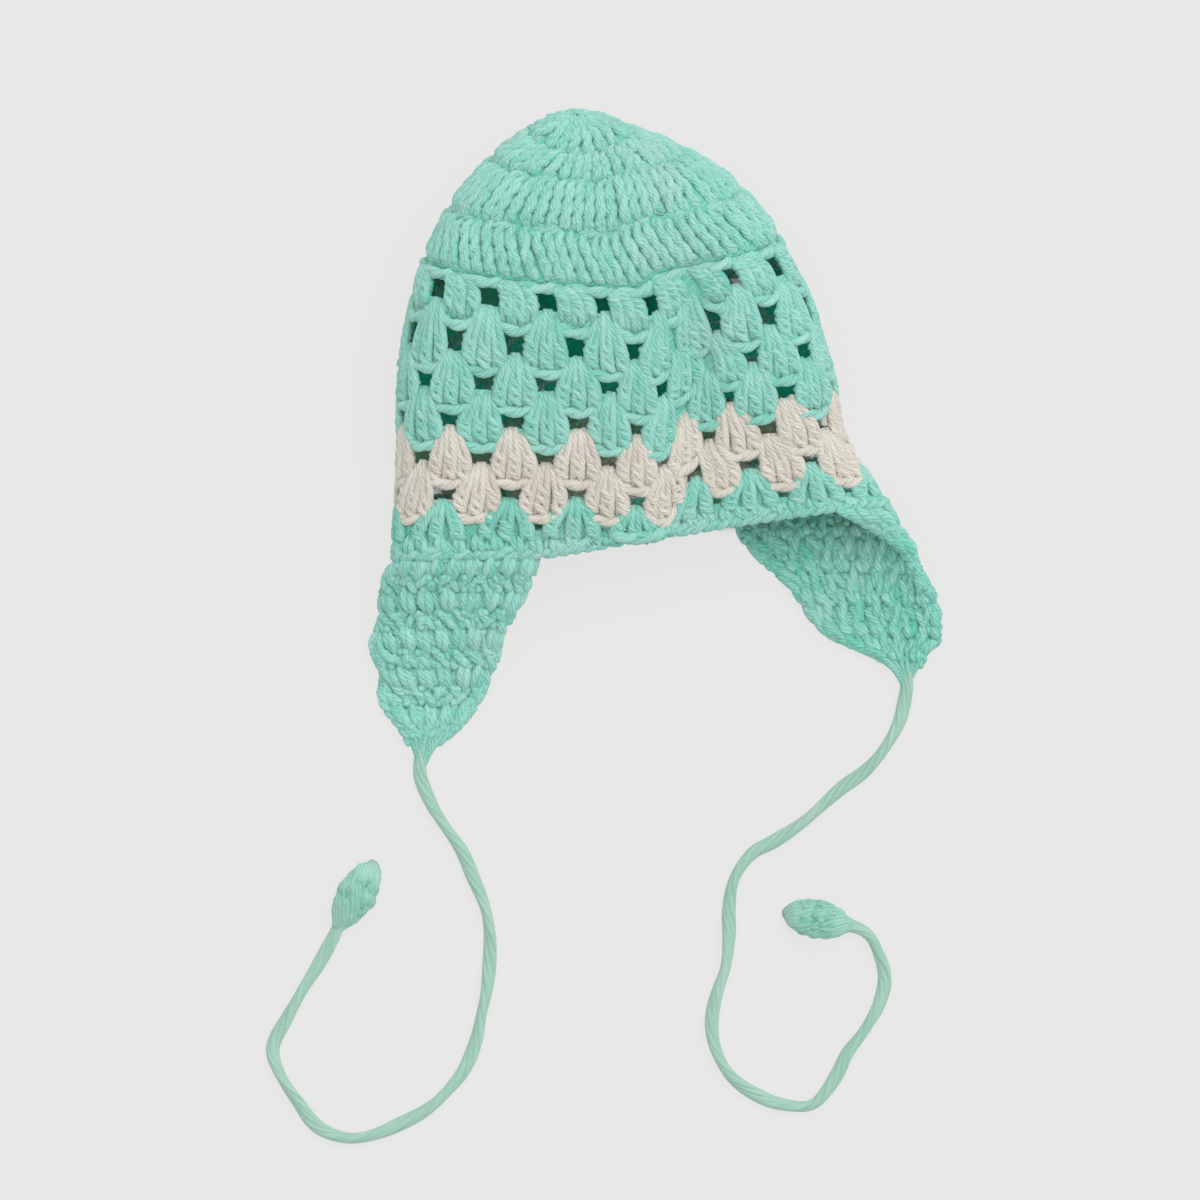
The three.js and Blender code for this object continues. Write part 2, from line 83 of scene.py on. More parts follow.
def lengths_along(points):
    """The length from the first point to each."""
    steps = np.linalg.norm(np.diff(points, axis=0), axis=1)
    return np.concatenate([[0], np.cumsum(steps)])


def smooth(low, high, x):
    t = np.clip((x - low) / (high - low), 0, 1)
    return t * t * (3 - 2 * t)


def through_rows(rows, at):
    """The table's row at a place between its rows, on smooth curves that never overshoot them."""
    last = len(rows) - 1
    i = min(max(int(math.floor(at)), 0), last - 1)
    t = at - i
    rises = np.diff(rows, axis=0)

    def slope(k):
        if k == 0:
            return rises[0]
        if k == last:
            return rises[-1]
        before, after = rises[k - 1], rises[k]
        total = np.where(before * after > 0, before + after, 1)
        return np.where(before * after > 0, 2 * before * after / total, 0)

    return (
        rows[i] * (2 * t**3 - 3 * t**2 + 1) + slope(i) * (t**3 - 2 * t**2 + t)
        + rows[i + 1] * (3 * t**2 - 2 * t**3) + slope(i + 1) * (t**3 - t**2)
    )


def centripetal(points, at):
    """Places on a smooth curve through points, whose first axis is along it. at runs from 0 to 1."""
    ends = 2 * points[:1] - points[1:2], 2 * points[-1:] - points[-2:-1]
    all_points = np.concatenate([ends[0], points, ends[1]])
    places = []
    for share in at:
        along = share * (len(points) - 1)
        i = min(int(along), len(points) - 2)
        w = along - i
        p0, p1, p2, p3 = all_points[i:i + 4]
        before, middle, after = (
            np.sqrt(np.linalg.norm(b - a, axis=-1, keepdims=True)) for a, b in ((p0, p1), (p1, p2), (p2, p3))
        )
        middle = np.where(middle < NO_STEP, 1, middle)
        before = np.where(before < NO_STEP, middle, before)
        after = np.where(after < NO_STEP, middle, after)
        start = ((p1 - p0) / before - (p2 - p0) / (before + middle) + (p2 - p1) / middle) * middle
        stop = ((p2 - p1) / middle - (p3 - p1) / (middle + after) + (p3 - p2) / after) * middle
        square = 3 * (p2 - p1) - 2 * start - stop
        cube = 2 * (p1 - p2) + start + stop
        places.append(p1 + start * w + square * w**2 + cube * w**3)
    return np.array(places)


# Tubes, sheets and skins of yarn

YARN_RADIUS = 1.3
TWIST_LENGTH = 15.0  # of one turn of the plies
PLIES = 7  # ridges that show round a strand
TONE_SCATTER = 0.15  # from strand to strand


class Yarn:
    """The yarn of one piece. Its tone is painted shade added to that of all that is laid: below nought is a
    deeper green.
    """

    def __init__(self, tone=0.0):
        self.points, self.quads, self.places, self.tones = [], [], [], []
        self.count = 0
        self.tone = tone

    def _keep(self, points, quads, places, tones):
        self.points.append(points)
        self.quads.append(quads + self.count)
        self.places.append(places)
        self.tones.append(tones + self.tone)
        self.count += len(points)

    def lay(self, lines, outward, radius=YARN_RADIUS, sides=6, tone=0.0, twist_length=TWIST_LENGTH):
        """Closed tubes round lines (strand, point, 3), outward being the fabric's direction at each point.

        radius is one number, or one for each point, or one for each point and side. sides is even.
        """
        lines = np.asarray(lines, float)
        strands, steps, _ = lines.shape
        ahead = unit(np.gradient(lines, axis=1))
        side = unit(np.cross(ahead, outward))
        up = np.cross(side, ahead)
        radii = np.asarray(radius, float)
        if radii.ndim < 3:
            radii = np.broadcast_to(radii, (strands, steps))[..., None]
        turn = 2 * np.pi * np.arange(sides) / sides
        ring = np.cos(turn)[:, None] * side[:, :, None] + np.sin(turn)[:, None] * up[:, :, None]
        points = lines[:, :, None] + radii[..., None] * ring
        points[..., 2] = np.maximum(points[..., 2], 0)
        lengths = np.linalg.norm(np.diff(lines, axis=1), axis=-1)
        along = np.concatenate([np.zeros((strands, 1)), np.cumsum(lengths, axis=1)], axis=1) / twist_length
        along += RANDOM.random((strands, 1))

        s, k, j = np.meshgrid(np.arange(strands), np.arange(steps - 1), np.arange(sides), indexing="ij")
        corners = (k, j), (k, j + 1), (k + 1, j + 1), (k + 1, j)
        walls = np.stack([(s * steps + a) * sides + b % sides for a, b in corners], axis=-1)
        places = np.stack([np.stack([along[s, a], b / sides], axis=-1) for a, b in corners], axis=-2)
        first = np.arange(strands)[:, None] * steps * sides
        last = first + (steps - 1) * sides
        quads = [walls.reshape(-1, 4)]
        for c in range(1, sides - 1, 2):
            quads += [first + [0, c + 2, c + 1, c], last + [0, c, c + 1, c + 2]]
        quads = np.concatenate(quads)
        places = np.concatenate([places.reshape(-1, 4, 2), np.zeros((len(quads) - places.size // 8, 4, 2))])
        # random colour differences from strand to strand, plus the painted shade asked for
        tones = np.repeat(tone + RANDOM.normal(0, TONE_SCATTER, strands), steps * sides)
        self._keep(points.reshape(-1, 3), quads, places, tones)

    def lay_sheet(self, front, back, is_hole, closed, tone, back_tone):
        """A thin closed layer of fabric between two grids of points, cut through at its holes.

        back_tone, the painted shade of its inner face, is one number, or one for each row.
        """
        rows, columns, _ = front.shape
        cells = columns if closed else columns - 1
        points = np.concatenate([front.reshape(-1, 3), back.reshape(-1, 3)])
        points[:, 2] = np.maximum(points[:, 2], 0)
        solid = np.ones((rows - 1, cells), bool) if is_hole is None else ~is_hole
        quads = []

        def near(r, c):
            return r * columns + c % columns

        def far(r, c):
            return rows * columns + near(r, c)

        def filled(r, c):
            return 0 <= r < rows - 1 and (closed or 0 <= c < cells) and solid[r, c % cells]

        for r in range(rows - 1):
            for c in range(cells):
                if not solid[r, c]:
                    continue
                quads.append([near(r, c), near(r + 1, c), near(r + 1, c + 1), near(r, c + 1)])
                quads.append([far(r, c), far(r, c + 1), far(r + 1, c + 1), far(r + 1, c)])
                for beside, a, b in (
                    ((r - 1, c), (r, c), (r, c + 1)),
                    ((r + 1, c), (r + 1, c + 1), (r + 1, c)),
                    ((r, c - 1), (r + 1, c), (r, c)),
                    ((r, c + 1), (r, c + 1), (r + 1, c + 1)),
                ):
                    if not filled(*beside):
                        quads.append([near(*a), near(*b), far(*b), far(*a)])
        quads = np.array(quads)
        used = np.unique(quads)
        fresh = np.zeros(len(points), int)
        fresh[used] = np.arange(len(used))
        quads, points = fresh[quads], points[used]
        back_tones = np.repeat(np.broadcast_to(back_tone, rows), columns)
        tones = np.concatenate([np.full(rows * columns, tone), back_tones])[used]
        self._keep(points, quads, points[quads][..., :2] / TWIST_LENGTH, tones)

    def lay_skin(self, rings, tones, turn_length, turns_round):
        """A closed skin round rings (ring, point, 3), the first and last drawn together into a point."""
        rows, columns, _ = rings.shape
        points = np.concatenate([rings[1:-1].reshape(-1, 3), rings[[0, -1]].mean(axis=1)])
        points[:, 2] = np.maximum(points[:, 2], 0)
        along = lengths_along(rings.mean(axis=1)) / turn_length

        def place(ring, column):
            return np.stack(np.broadcast_arrays(along[ring], turns_round * column / columns), axis=-1)

        def corner_of(ring, column):
            return (ring - 1) * columns + column % columns

        r, c = np.meshgrid(np.arange(1, rows - 2), np.arange(columns), indexing="ij")
        corners = (r, c), (r + 1, c), (r + 1, c + 1), (r, c + 1)
        quads = [np.stack([corner_of(*corner) for corner in corners], axis=-1).reshape(-1, 4)]
        places = [np.stack([place(*corner) for corner in corners], axis=-2).reshape(-1, 4, 2)]
        c = np.arange(0, columns, 2)
        for end, beside, steps in ((0, 1, (0, 1, 2)), (rows - 1, rows - 2, (2, 1, 0))):
            point = np.full(len(c), len(points) - (2 if end == 0 else 1))
            quads.append(np.stack([point] + [corner_of(beside, c + k) for k in steps], axis=-1))
            places.append(np.stack([place(end, c + 1)] + [place(beside, c + k) for k in steps], axis=-2))
        tones = np.concatenate([tones[1:-1].ravel(), tones[[0, -1], 0]])
        self._keep(points, np.concatenate(quads), np.concatenate(places), tones)

    def make(self, name, material):
        """The piece's mesh object, riding on the cap in place of its CAD node."""
        points = np.concatenate(self.points) * MM
        quads = np.concatenate(self.quads)
        mesh = bpy.data.meshes.new(name)
        mesh.vertices.add(len(points))
        mesh.vertices.foreach_set("co", points.ravel())
        mesh.loops.add(quads.size)
        mesh.loops.foreach_set("vertex_index", quads.ravel())
        mesh.polygons.add(len(quads))
        mesh.polygons.foreach_set("loop_start", np.arange(0, quads.size, 4))
        mesh.polygons.foreach_set("use_smooth", np.ones(len(quads), bool))
        mesh.update(calc_edges=True)
        mesh.uv_layers.new(name="Yarn").data.foreach_set("uv", np.concatenate(self.places).ravel())
        # each point's random colour difference and painted shade, which the material paints as colour
        tone = mesh.attributes.new("tone", "FLOAT", "POINT")
        tone.data.foreach_set("value", np.concatenate(self.tones))
        mesh.materials.append(material)
        piece = in_scene(name + "_yarn", mesh)
        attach(piece, "root")
        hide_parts(name)
        return piece


WIDTH_STEPS = 81


class Fabric:
    """A smooth face: points on an even grid of down x across, with its outward directions."""

    def __init__(self, points, down=(0, 1), across=(0, 1), closed=False):
        self.down, self.across, self.closed = down, across, closed
        self.points = points
        right = np.gradient(points, axis=1)
        if closed:
            self.points = np.concatenate([points, points[:, :1]], axis=1)
            padded = np.concatenate([points[:, -1:], self.points, points[:, 1:2]], axis=1)
            right = np.gradient(padded, axis=1)[:, 1:-1]
        self.normals = unit(np.cross(np.gradient(self.points, axis=0), right))
        self.normals[0] = self.normals[1]

    def place(self, down, across, depth):
        """Points this far outside the face, and the outward directions there."""
        down, across, depth = np.broadcast_arrays(down, across, depth)
        rows, columns = self.points.shape[:2]
        r = np.clip((down - self.down[0]) / (self.down[1] - self.down[0]), 0, 1) * (rows - 1)
        share = (across - self.across[0]) / (self.across[1] - self.across[0])
        c = (share % 1.0 if self.closed else np.clip(share, 0, 1)) * (columns - 1)
        r0, c0 = np.minimum(r.astype(int), rows - 2), np.minimum(c.astype(int), columns - 2)
        fr, fc = (r - r0)[..., None], (c - c0)[..., None]

        def between(grid):
            top = grid[r0, c0] * (1 - fc) + grid[r0, c0 + 1] * fc
            low = grid[r0 + 1, c0] * (1 - fc) + grid[r0 + 1, c0 + 1] * fc
            return top * (1 - fr) + low * fr

        out = unit(between(self.normals))
        return between(self.points) + out * depth[..., None], out

    def width(self, down):
        """The length across the face at one level."""
        places = np.linspace(self.across[0], self.across[1] - 1e-6, WIDTH_STEPS)
        points, _ = self.place(down, places, 0)
        return lengths_along(points)[-1]


# The cap's shape, in rounds down from the top of the crown and cluster pitches from the seam to the right

CLUSTERS = 16
WALL = 4.5
RIM = 12
CROWN_END = 4
LAST_HOLE_ROUND = 11
FIRST_SEAM_HOLE = 9  # from this round down the seam's cloth has a hole of its own
SHOULDER = 22  # width of the upper rounded edge
SHOULDER_SHARE = 0.75  # of the section's form, the rest being an even arch
HEEL = 24  # width of the lower rounded edge
MIDDLE_HEIGHT = 0.47  # share of a section's height at which it is widest
FRONT_LEAN = 1.5  # power by which a round's y goes over from its sides to its front
BACK_LEAN = 0.8  # share of that difference by which it lies the other way at the back
SEAM_REACH = 0.9  # furthest place of the seam, as a share of the half width
SEAM_GATHER = 0.12  # pitches are narrower beside the seam
SEAM_FOCUS = 2
GATHER_MIDDLE = 0.3
SEAM_STEP_EASE = (-0.15, 0.6)  # pitches over which the rounds step up at the seam
VALLEY_X = 13
VALLEY_WIDTH = 9
RIGHT_EDGE_PITCHES = 3.9
EARLY_CLIMB = 2
STRETCH_EASE = (3, 10)
SAG_SHARE = 0.35
SAG_MIDDLE = -0.3
SAG_WIDTH = 0.6
ROUND_COLUMNS = (
    "front_y", "side_y", "left_x", "right_x", "top_z", "bottom_z",
    "seam_step", "right_rise", "seam_x", "valley", "stretch", "stretch_middle",
)
ROUNDS = np.array([
    [114.2, 114.2, -28.5, -28.5, 22, 22, 0, 0, -28.5, 0, 0, 0.25],
    [98.6, 106.4, -46.5, -8.5, 33, 10, 1, 0, -20, 0, 0, 0.25],
    [88.6, 96.5, -60.0, 10.0, 40, 3, 2, 3, -18, 0, 0, 0.25],
    [69.8, 79.0, -74.8, 31.0, 46, 0, 3, 6.5, -16.5, 0, 0, 0.25],
    [51.0, 61.0, -83.6, 44.0, 47, 0, 3.6, 8.5, -8, 1, 0.45, 0.47],
    [43.8, 53.6, -86.9, 48.0, 46.5, 0, 3.8, 9, -1.5, 2, 0.5, 0.5],
    [28.1, 34.9, -90.9, 56.3, 44, 0, 6.5, 11, 1, 5, 0.45, 0.48],
    [14.2, 18.4, -93.4, 61.0, 41, 0, 7, 12, 2.3, 6, 0.55, 0.52],
    [1.0, 4.0, -93.8, 65.0, 38, 0, 7, 12.5, 2.3, 6, 0.62, 0.56],
    [-12.0, -10.1, -93.8, 66.5, 35, 0, 7.5, 13.5, 2.3, 4, 0.83, 0.74],
    [-24.2, -23.8, -94.5, 72.5, 32, 0, 7.5, 15, 2.3, 1.5, 0.97, 0.55],
    [-36.1, -36.4, -95.2, 80.0, 29, 0, 7.5, 16, 2.3, 0, 0.97, 0.9],
    [-46.4, -47.2, -95.6, 83.8, 27, 0, 0, 22, 4, 0, 0.97, 0.73],
])
ROWS_PER_ROUND = 16
PLACES_PER_PITCH = 16
TURN_STEPS = 240


def corner(half_width, angle, width):
    """How high a rounded edge of this width stands: 0 at the side and 1 where it is flat."""
    inwards = half_width * (1 - np.abs(np.cos(angle)))
    left = 1 - np.minimum(inwards / max(min(width, half_width), 1e-6), 1)
    return np.sqrt(1 - left * left)


def round_sizes(v):
    return dict(zip(ROUND_COLUMNS, through_rows(ROUNDS, v)))


def cap_row(v, u):
    """The cap's outer face at v rounds from the top, for each pitch in u."""
    size = round_sizes(v)
    early = EARLY_CLIMB * float(smooth(LAST_HOLE_ROUND, RIM, v))
    middle_x = (size["left_x"] + size["right_x"]) / 2
    half = (size["right_x"] - size["left_x"]) / 2
    middle_z = size["bottom_z"] + MIDDLE_HEIGHT * (size["top_z"] - size["bottom_z"])

    def section(angle):
        up = np.sin(angle)
        low = middle_z - (middle_z - size["bottom_z"]) * corner(half, angle, HEEL)
        rise = SHOULDER_SHARE * corner(half, angle, SHOULDER) + (1 - SHOULDER_SHARE) * up
        high = middle_z + (size["top_z"] - middle_z) * rise
        return middle_x + half * np.cos(angle), np.where(up < 0, low, high)

    seam = (size["seam_x"] - middle_x) / max(half, 1e-6)
    start = math.acos(min(max(seam, -SEAM_REACH), SEAM_REACH))
    angles = start - 2 * np.pi * np.arange(TURN_STEPS + 1) / TURN_STEPS
    xs, zs = section(angles)
    lengths = np.concatenate([[0], np.cumsum(np.hypot(np.diff(xs), np.diff(zs)))])
    around = 2 * np.pi * (u - GATHER_MIDDLE) / CLUSTERS
    gather = np.sin(around) * np.exp(SEAM_FOCUS * (np.cos(around) - 1))
    even = (u - SEAM_GATHER * CLUSTERS * gather / (2 * np.pi)) % CLUSTERS
    angle = np.interp(even / CLUSTERS * lengths[-1], lengths, angles)
    x, z = section(angle)
    up = np.sin(angle)
    front = up > 0
    valley = np.where(front, size["valley"] * up * np.exp(-((x - VALLEY_X) / VALLEY_WIDTH) ** 2), 0)
    lean = np.where(front, np.maximum(up, 0) ** FRONT_LEAN, -BACK_LEAN * corner(half, angle, HEEL))
    turn = (u + EARLY_CLIMB) % CLUSTERS - EARLY_CLIMB
    sag = SAG_SHARE * size["seam_step"] * np.exp(-((turn - SAG_MIDDLE) / SAG_WIDTH) ** 2)
    step = size["seam_step"] * smooth(*SEAM_STEP_EASE, turn) - sag
    climbed = np.maximum((turn + early) / (RIGHT_EDGE_PITCHES + early), 0)
    climb = (size["right_rise"] - size["seam_step"]) * climbed
    back = (turn - RIGHT_EDGE_PITCHES) / (CLUSTERS - 2 * RIGHT_EDGE_PITCHES)
    lift = np.where(turn <= RIGHT_EDGE_PITCHES, step + climb, size["right_rise"] * (1 - smooth(0, 1, back)))
    y = size["side_y"] + (size["front_y"] - size["side_y"]) * lean + lift
    return np.stack([x, y, z - valley], axis=-1)


def make_cap():
    u = np.arange(CLUSTERS * PLACES_PER_PITCH) / PLACES_PER_PITCH
    rows = [cap_row(k / ROWS_PER_ROUND, u) for k in range(RIM * ROWS_PER_ROUND + 1)]
    return Fabric(np.array(rows), (0, RIM), (0, CLUSTERS), closed=True)


CAP = make_cap()

# The flaps below the rim, section by section

FLAP_SECTION = (
    "start_x", "start_y", "start_z", "start_handle_z", "fold_x", "fold_at",
    "end_handle_z", "end_x", "end_y", "end_z",
)
LEFT_FLAP = {
    "from": -5.65,
    "to": -2.05,
    "sections": [
        [-88, -60, 0, 0, -99.4, 0.34, 22, -46.8, -58.7, 21],
        [-97, -79.6, 1, 1.5, -101.7, 0.18, 12.5, -55.8, -78.8, 12],
        [-99.2, -97.6, 3.6, 4.6, -99.2, 0, 7, -63.9, -97.6, 6.5],
        [-92, -107.6, 4.5, 5, -92, 0, 5.2, -71.5, -107.6, 5],
        [-88, -114.6, 4.6, 4.7, -88, 0, 4.7, -81.2, -114.6, 4.6],
    ],
}
RIGHT_FLAP = {
    "from": 2.6,
    "to": 6.2,
    "sections": [
        [87, -44.3, 15, 16, 91.6, 0.22, 0, 33.2, -44.6, 0],
        [96.8, -61.6, 9, 8, 99, 0.08, 0, 50.2, -62.3, 0],
        [99.6, -76, 5, 2, 100.6, 0.04, 0, 64.6, -76.3, 0],
        [96.4, -81.7, 1.5, 0, 96.4, 0, 0, 77.6, -82.1, 0],
        [94.1, -86, 0.2, 0, 94.1, 0, 0, 87.1, -86, 0],
    ],
}
FLAP_GRID = (65, 97)  # down, across
CURVE_STEPS = 200
FOLD_WEIGHTS = (0.166, 0.743, 0.091)  # of a curve's start, handles and end where it reaches furthest out


def flap_section(row, across):
    """One section of a flap from its first edge round the fold to its second."""
    s = dict(zip(FLAP_SECTION, row))
    folded = s["fold_at"] > 0
    handle = (s["fold_x"] - FOLD_WEIGHTS[0] * s["start_x"] - FOLD_WEIGHTS[2] * s["end_x"]) / FOLD_WEIGHTS[1]
    third = (s["end_x"] - s["start_x"]) / 3
    near_start = handle if folded else s["start_x"] + third
    near_end = handle if folded else s["start_x"] + 2 * third
    ends = np.array([
        [s["start_x"], s["start_y"], s["start_z"]],
        [near_start, s["start_y"], s["start_handle_z"]],
        [near_end, s["end_y"], s["end_handle_z"]],
        [s["end_x"], s["end_y"], s["end_z"]],
    ])
    t = np.linspace(0, 1, CURVE_STEPS + 1)[:, None]
    curve = (
        (1 - t) ** 3 * ends[0] + 3 * (1 - t) ** 2 * t * ends[1]
        + 3 * (1 - t) * t**2 * ends[2] + t**3 * ends[3]
    )
    lengths = lengths_along(curve)
    shares = lengths / lengths[-1]
    if folded:
        turn = shares[np.argmax(np.abs(curve[:, 0]))]
        across = np.interp(across, [0, s["fold_at"], 1], [0, turn, 1])
    return np.stack([np.interp(across, shares, curve[:, k]) for k in range(3)], axis=-1)


def make_flap(flap):
    across = np.linspace(0, 1, FLAP_GRID[1])
    root, _ = CAP.place(RIM, flap["from"] + across * (flap["to"] - flap["from"]), 0)
    rows = np.array([root] + [flap_section(row, across) for row in flap["sections"]])
    points = centripetal(rows, np.linspace(0, 1, 4 * FLAP_GRID[0]))
    lengths = np.linalg.norm(np.diff(points, axis=0), axis=-1).mean(axis=1)
    shares = np.concatenate([[0], np.cumsum(lengths)]) / lengths.sum()
    at = np.interp(np.linspace(0, 1, FLAP_GRID[0]), shares, np.linspace(0, 1, len(points)))
    return Fabric(centripetal(rows, at))


WAVES_START = 0.7  # share of the way across the flap
LEFT_WAVES = ((-74.5, -1.8, 4.5),)  # y, shift in x, height
RIGHT_WAVES = ((-47.0, 2.4, 7.0), (-56.5, 4.0, 7.0), (-79.5, 3.8, 4.5))


def wave_edge(fabric, waves):
    """Moves the flap's second edge sideways at a few places, where its rows of stitches pull or bulge."""
    moved = fabric.points.copy()
    edge = smooth(WAVES_START, 1, np.linspace(0, 1, moved.shape[1]))
    for y, shift, height in waves:
        near = np.exp(-((fabric.points[..., 1] - y) / height) ** 2)
        moved[..., 0] += shift * near * edge
    return Fabric(moved)


LEFT_FABRIC = wave_edge(make_flap(LEFT_FLAP), LEFT_WAVES)
RIGHT_FABRIC = wave_edge(make_flap(RIGHT_FLAP), RIGHT_WAVES)


# Yarn materials

PLY_HEIGHT = 0.22  # beside the fibres' height of 1
BUMP_STRENGTH = 0.8
BUMP_DISTANCE = 0.0006
FIBRE_SCALE = 3.2
PATCH_SCALE = 38.0
PATCH_EDGES = (0.5, 0.72)
PATCH_SHARE = 0.35
# painted light: a spot's colour is picked by how lit it is painted, from a base, its fibres, the grooves
# between its plies and its tone
BASE_LIGHT = 0.4
FIBRE_LIGHT = 0.5
PLY_LIGHT = 0.04
TONE_LIGHT = 0.25
# painted light levels at which the colour goes from painted hollow shade to painted crease shade to the lit
# colour
PAINTED_HOLLOW_SHADE_STOP, PAINTED_CREASE_SHADE_STOP, COLOUR_STOP = 0.3, 0.46, 0.72
YARN_COLOURS = {
    # the lit colour where a strand stands out, painted shade in its creases, painted shade deep in a hollow,
    # and paler patches
    "mint_yarn": ((165, 225, 212), (98, 200, 177), (20, 236, 198), (176, 214, 203)),
    "off_white_yarn": ((231, 226, 215), (206, 198, 182), (170, 214, 180), (222, 206, 201)),
    "mint_cord": ((172, 208, 193), (139, 189, 168), (90, 190, 155), (180, 206, 195)),
    "mint_felt": ((164, 214, 196), (122, 194, 168), (70, 180, 142), (172, 208, 194)),
}


def linear(srgb):
    """A colour of 0 to 255 as the shader takes it."""
    return (*((c / 255 / 12.92 if c < 11 else ((c / 255 + 0.055) / 1.055) ** 2.4) for c in srgb), 1)


def with_values(node, **values):
    """The node with these settings and inputs."""
    for key, value in values.items():
        if hasattr(node, key):
            setattr(node, key, value)
        else:
            node.inputs[key.replace("_", " ")].default_value = value
    return node


class Nodes:
    """The nodes of one material, and short ways to add to them."""

    def __init__(self, name):
        self.material = bpy.data.materials.new(name)
        self.material.use_nodes = True
        self.tree = self.material.node_tree
        self.link = self.tree.links.new
        self.shader = self.tree.nodes["Principled BSDF"]

    def add(self, kind, **values):
        return with_values(self.tree.nodes.new(kind), **values)

    def maths(self, operation, *values):
        made = self.add("ShaderNodeMath", operation=operation)
        for socket, value in zip(made.inputs, values):
            if isinstance(value, (int, float)):
                socket.default_value = value
            else:
                self.link(value, socket)
        return made.outputs[0]

    def smooth_range(self, value, low, high):
        made = self.add("ShaderNodeMapRange", interpolation_type="SMOOTHSTEP", From_Min=low, From_Max=high)
        self.link(value, made.inputs["Value"])
        return made.outputs[0]


def yarn_material(name):
    """Twisted wool: plies and fibres run round each strand, and its colour is painted light and shade, darker
    in the ply grooves and where tone is low.
    """
    colour, painted_crease_shade, painted_hollow_shade, pale = (linear(srgb) for srgb in YARN_COLOURS[name])
    tree = Nodes(name)
    add, maths, link, shader = tree.add, tree.maths, tree.link, tree.shader
    with_values(shader, Roughness=0.9, Specular_IOR_Level=0.15, Sheen_Weight=0.3, Sheen_Roughness=0.6)
    split = add("ShaderNodeSeparateXYZ")
    link(add("ShaderNodeUVMap", uv_map="Yarn").outputs[0], split.inputs[0])
    along, around = split.outputs[0], split.outputs[1]
    turned = maths("MULTIPLY", maths("SUBTRACT", around, along), 2 * math.pi)
    plies = maths("SINE", maths("MULTIPLY", turned, PLIES))
    fibre_place = add("ShaderNodeCombineXYZ")
    link(maths("COSINE", turned), fibre_place.inputs[0])
    link(maths("SINE", turned), fibre_place.inputs[1])
    link(along, fibre_place.inputs[2])
    noise = add("ShaderNodeTexNoise", Scale=FIBRE_SCALE, Detail=3.0, Roughness=0.55)
    link(fibre_place.outputs[0], noise.inputs["Vector"])
    fibres = noise.outputs["Fac"]
    bump = add("ShaderNodeBump", Strength=BUMP_STRENGTH, Distance=BUMP_DISTANCE)
    link(maths("MULTIPLY_ADD", plies, PLY_HEIGHT, fibres), bump.inputs["Height"])
    link(bump.outputs[0], shader.inputs["Normal"])

    # painted light and shade: the sum below picks the colour from painted hollow shade through painted crease
    # shade to the lit colour
    tone = add("ShaderNodeAttribute", attribute_name="tone").outputs["Fac"]
    painted_light = BASE_LIGHT
    for part, share in ((fibres, FIBRE_LIGHT), (plies, PLY_LIGHT), (tone, TONE_LIGHT)):
        painted_light = maths("MULTIPLY_ADD", part, share, painted_light)
    ramp = add("ShaderNodeValToRGB")
    stops = ramp.color_ramp.elements
    stops[0].position, stops[0].color = PAINTED_HOLLOW_SHADE_STOP, painted_hollow_shade
    stops[1].position, stops[1].color = COLOUR_STOP, colour
    stops.new(PAINTED_CREASE_SHADE_STOP).color = painted_crease_shade
    link(painted_light, ramp.inputs[0])
    patches = add("ShaderNodeTexNoise", Scale=PATCH_SCALE, Detail=2.0)
    link(add("ShaderNodeTexCoord").outputs["Object"], patches.inputs["Vector"])
    patch = tree.smooth_range(patches.outputs["Fac"], *PATCH_EDGES)
    tint = add("ShaderNodeMix", data_type="RGBA")
    link(maths("MULTIPLY", patch, PATCH_SHARE), tint.inputs[0])
    link(ramp.outputs[0], tint.inputs["A"])
    tint.inputs["B"].default_value = pale
    link(tint.outputs["Result"], shader.inputs["Base Color"])
    return tree.material


MINT = yarn_material("mint_yarn")
OFF_WHITE = yarn_material("off_white_yarn")
MINT_CORD = yarn_material("mint_cord")
MINT_FELT = yarn_material("mint_felt")


# Stitches

def lay_on(yarn, fabric, down, across, depth, inside=False, **options):
    """Strands at this height over the fabric's outer face, or over its inner one."""
    points, out = fabric.place(down, across, -WALL - depth if inside else depth)
    yarn.lay(points, out, **options)


def scatter(count, size):
    return RANDOM.normal(0, size, count)


def jitter(count, size):
    return scatter(count, size)[:, None]


POST_STEPS = 13
POST_DEPTH = 1.45  # of its strands' middle lines
POST_TOP = 0.1  # share of its length over which a post comes up out of the fabric
POST_FOOT = 0.78  # share at which it starts to dip again
POST_LEAN = 0.7  # share at which it reaches the place of its foot
PAIR_OPENS = (0.05, 0.6)
PAIR_STEP = 0.3  # the first strand of a pair lies this much deeper
PAIR_SWING = 0.45
POST_SCATTER = 0.15
WRAP_STEPS = 7
WRAP_REACH = 1.6  # beside the pair's own half width
WRAP_CURVE = (1.5, 2.2)  # how deep its ends lie, and the power by which they get there
WRAP_PLUMP = 1.05
WRAP_SCATTER = 0.12


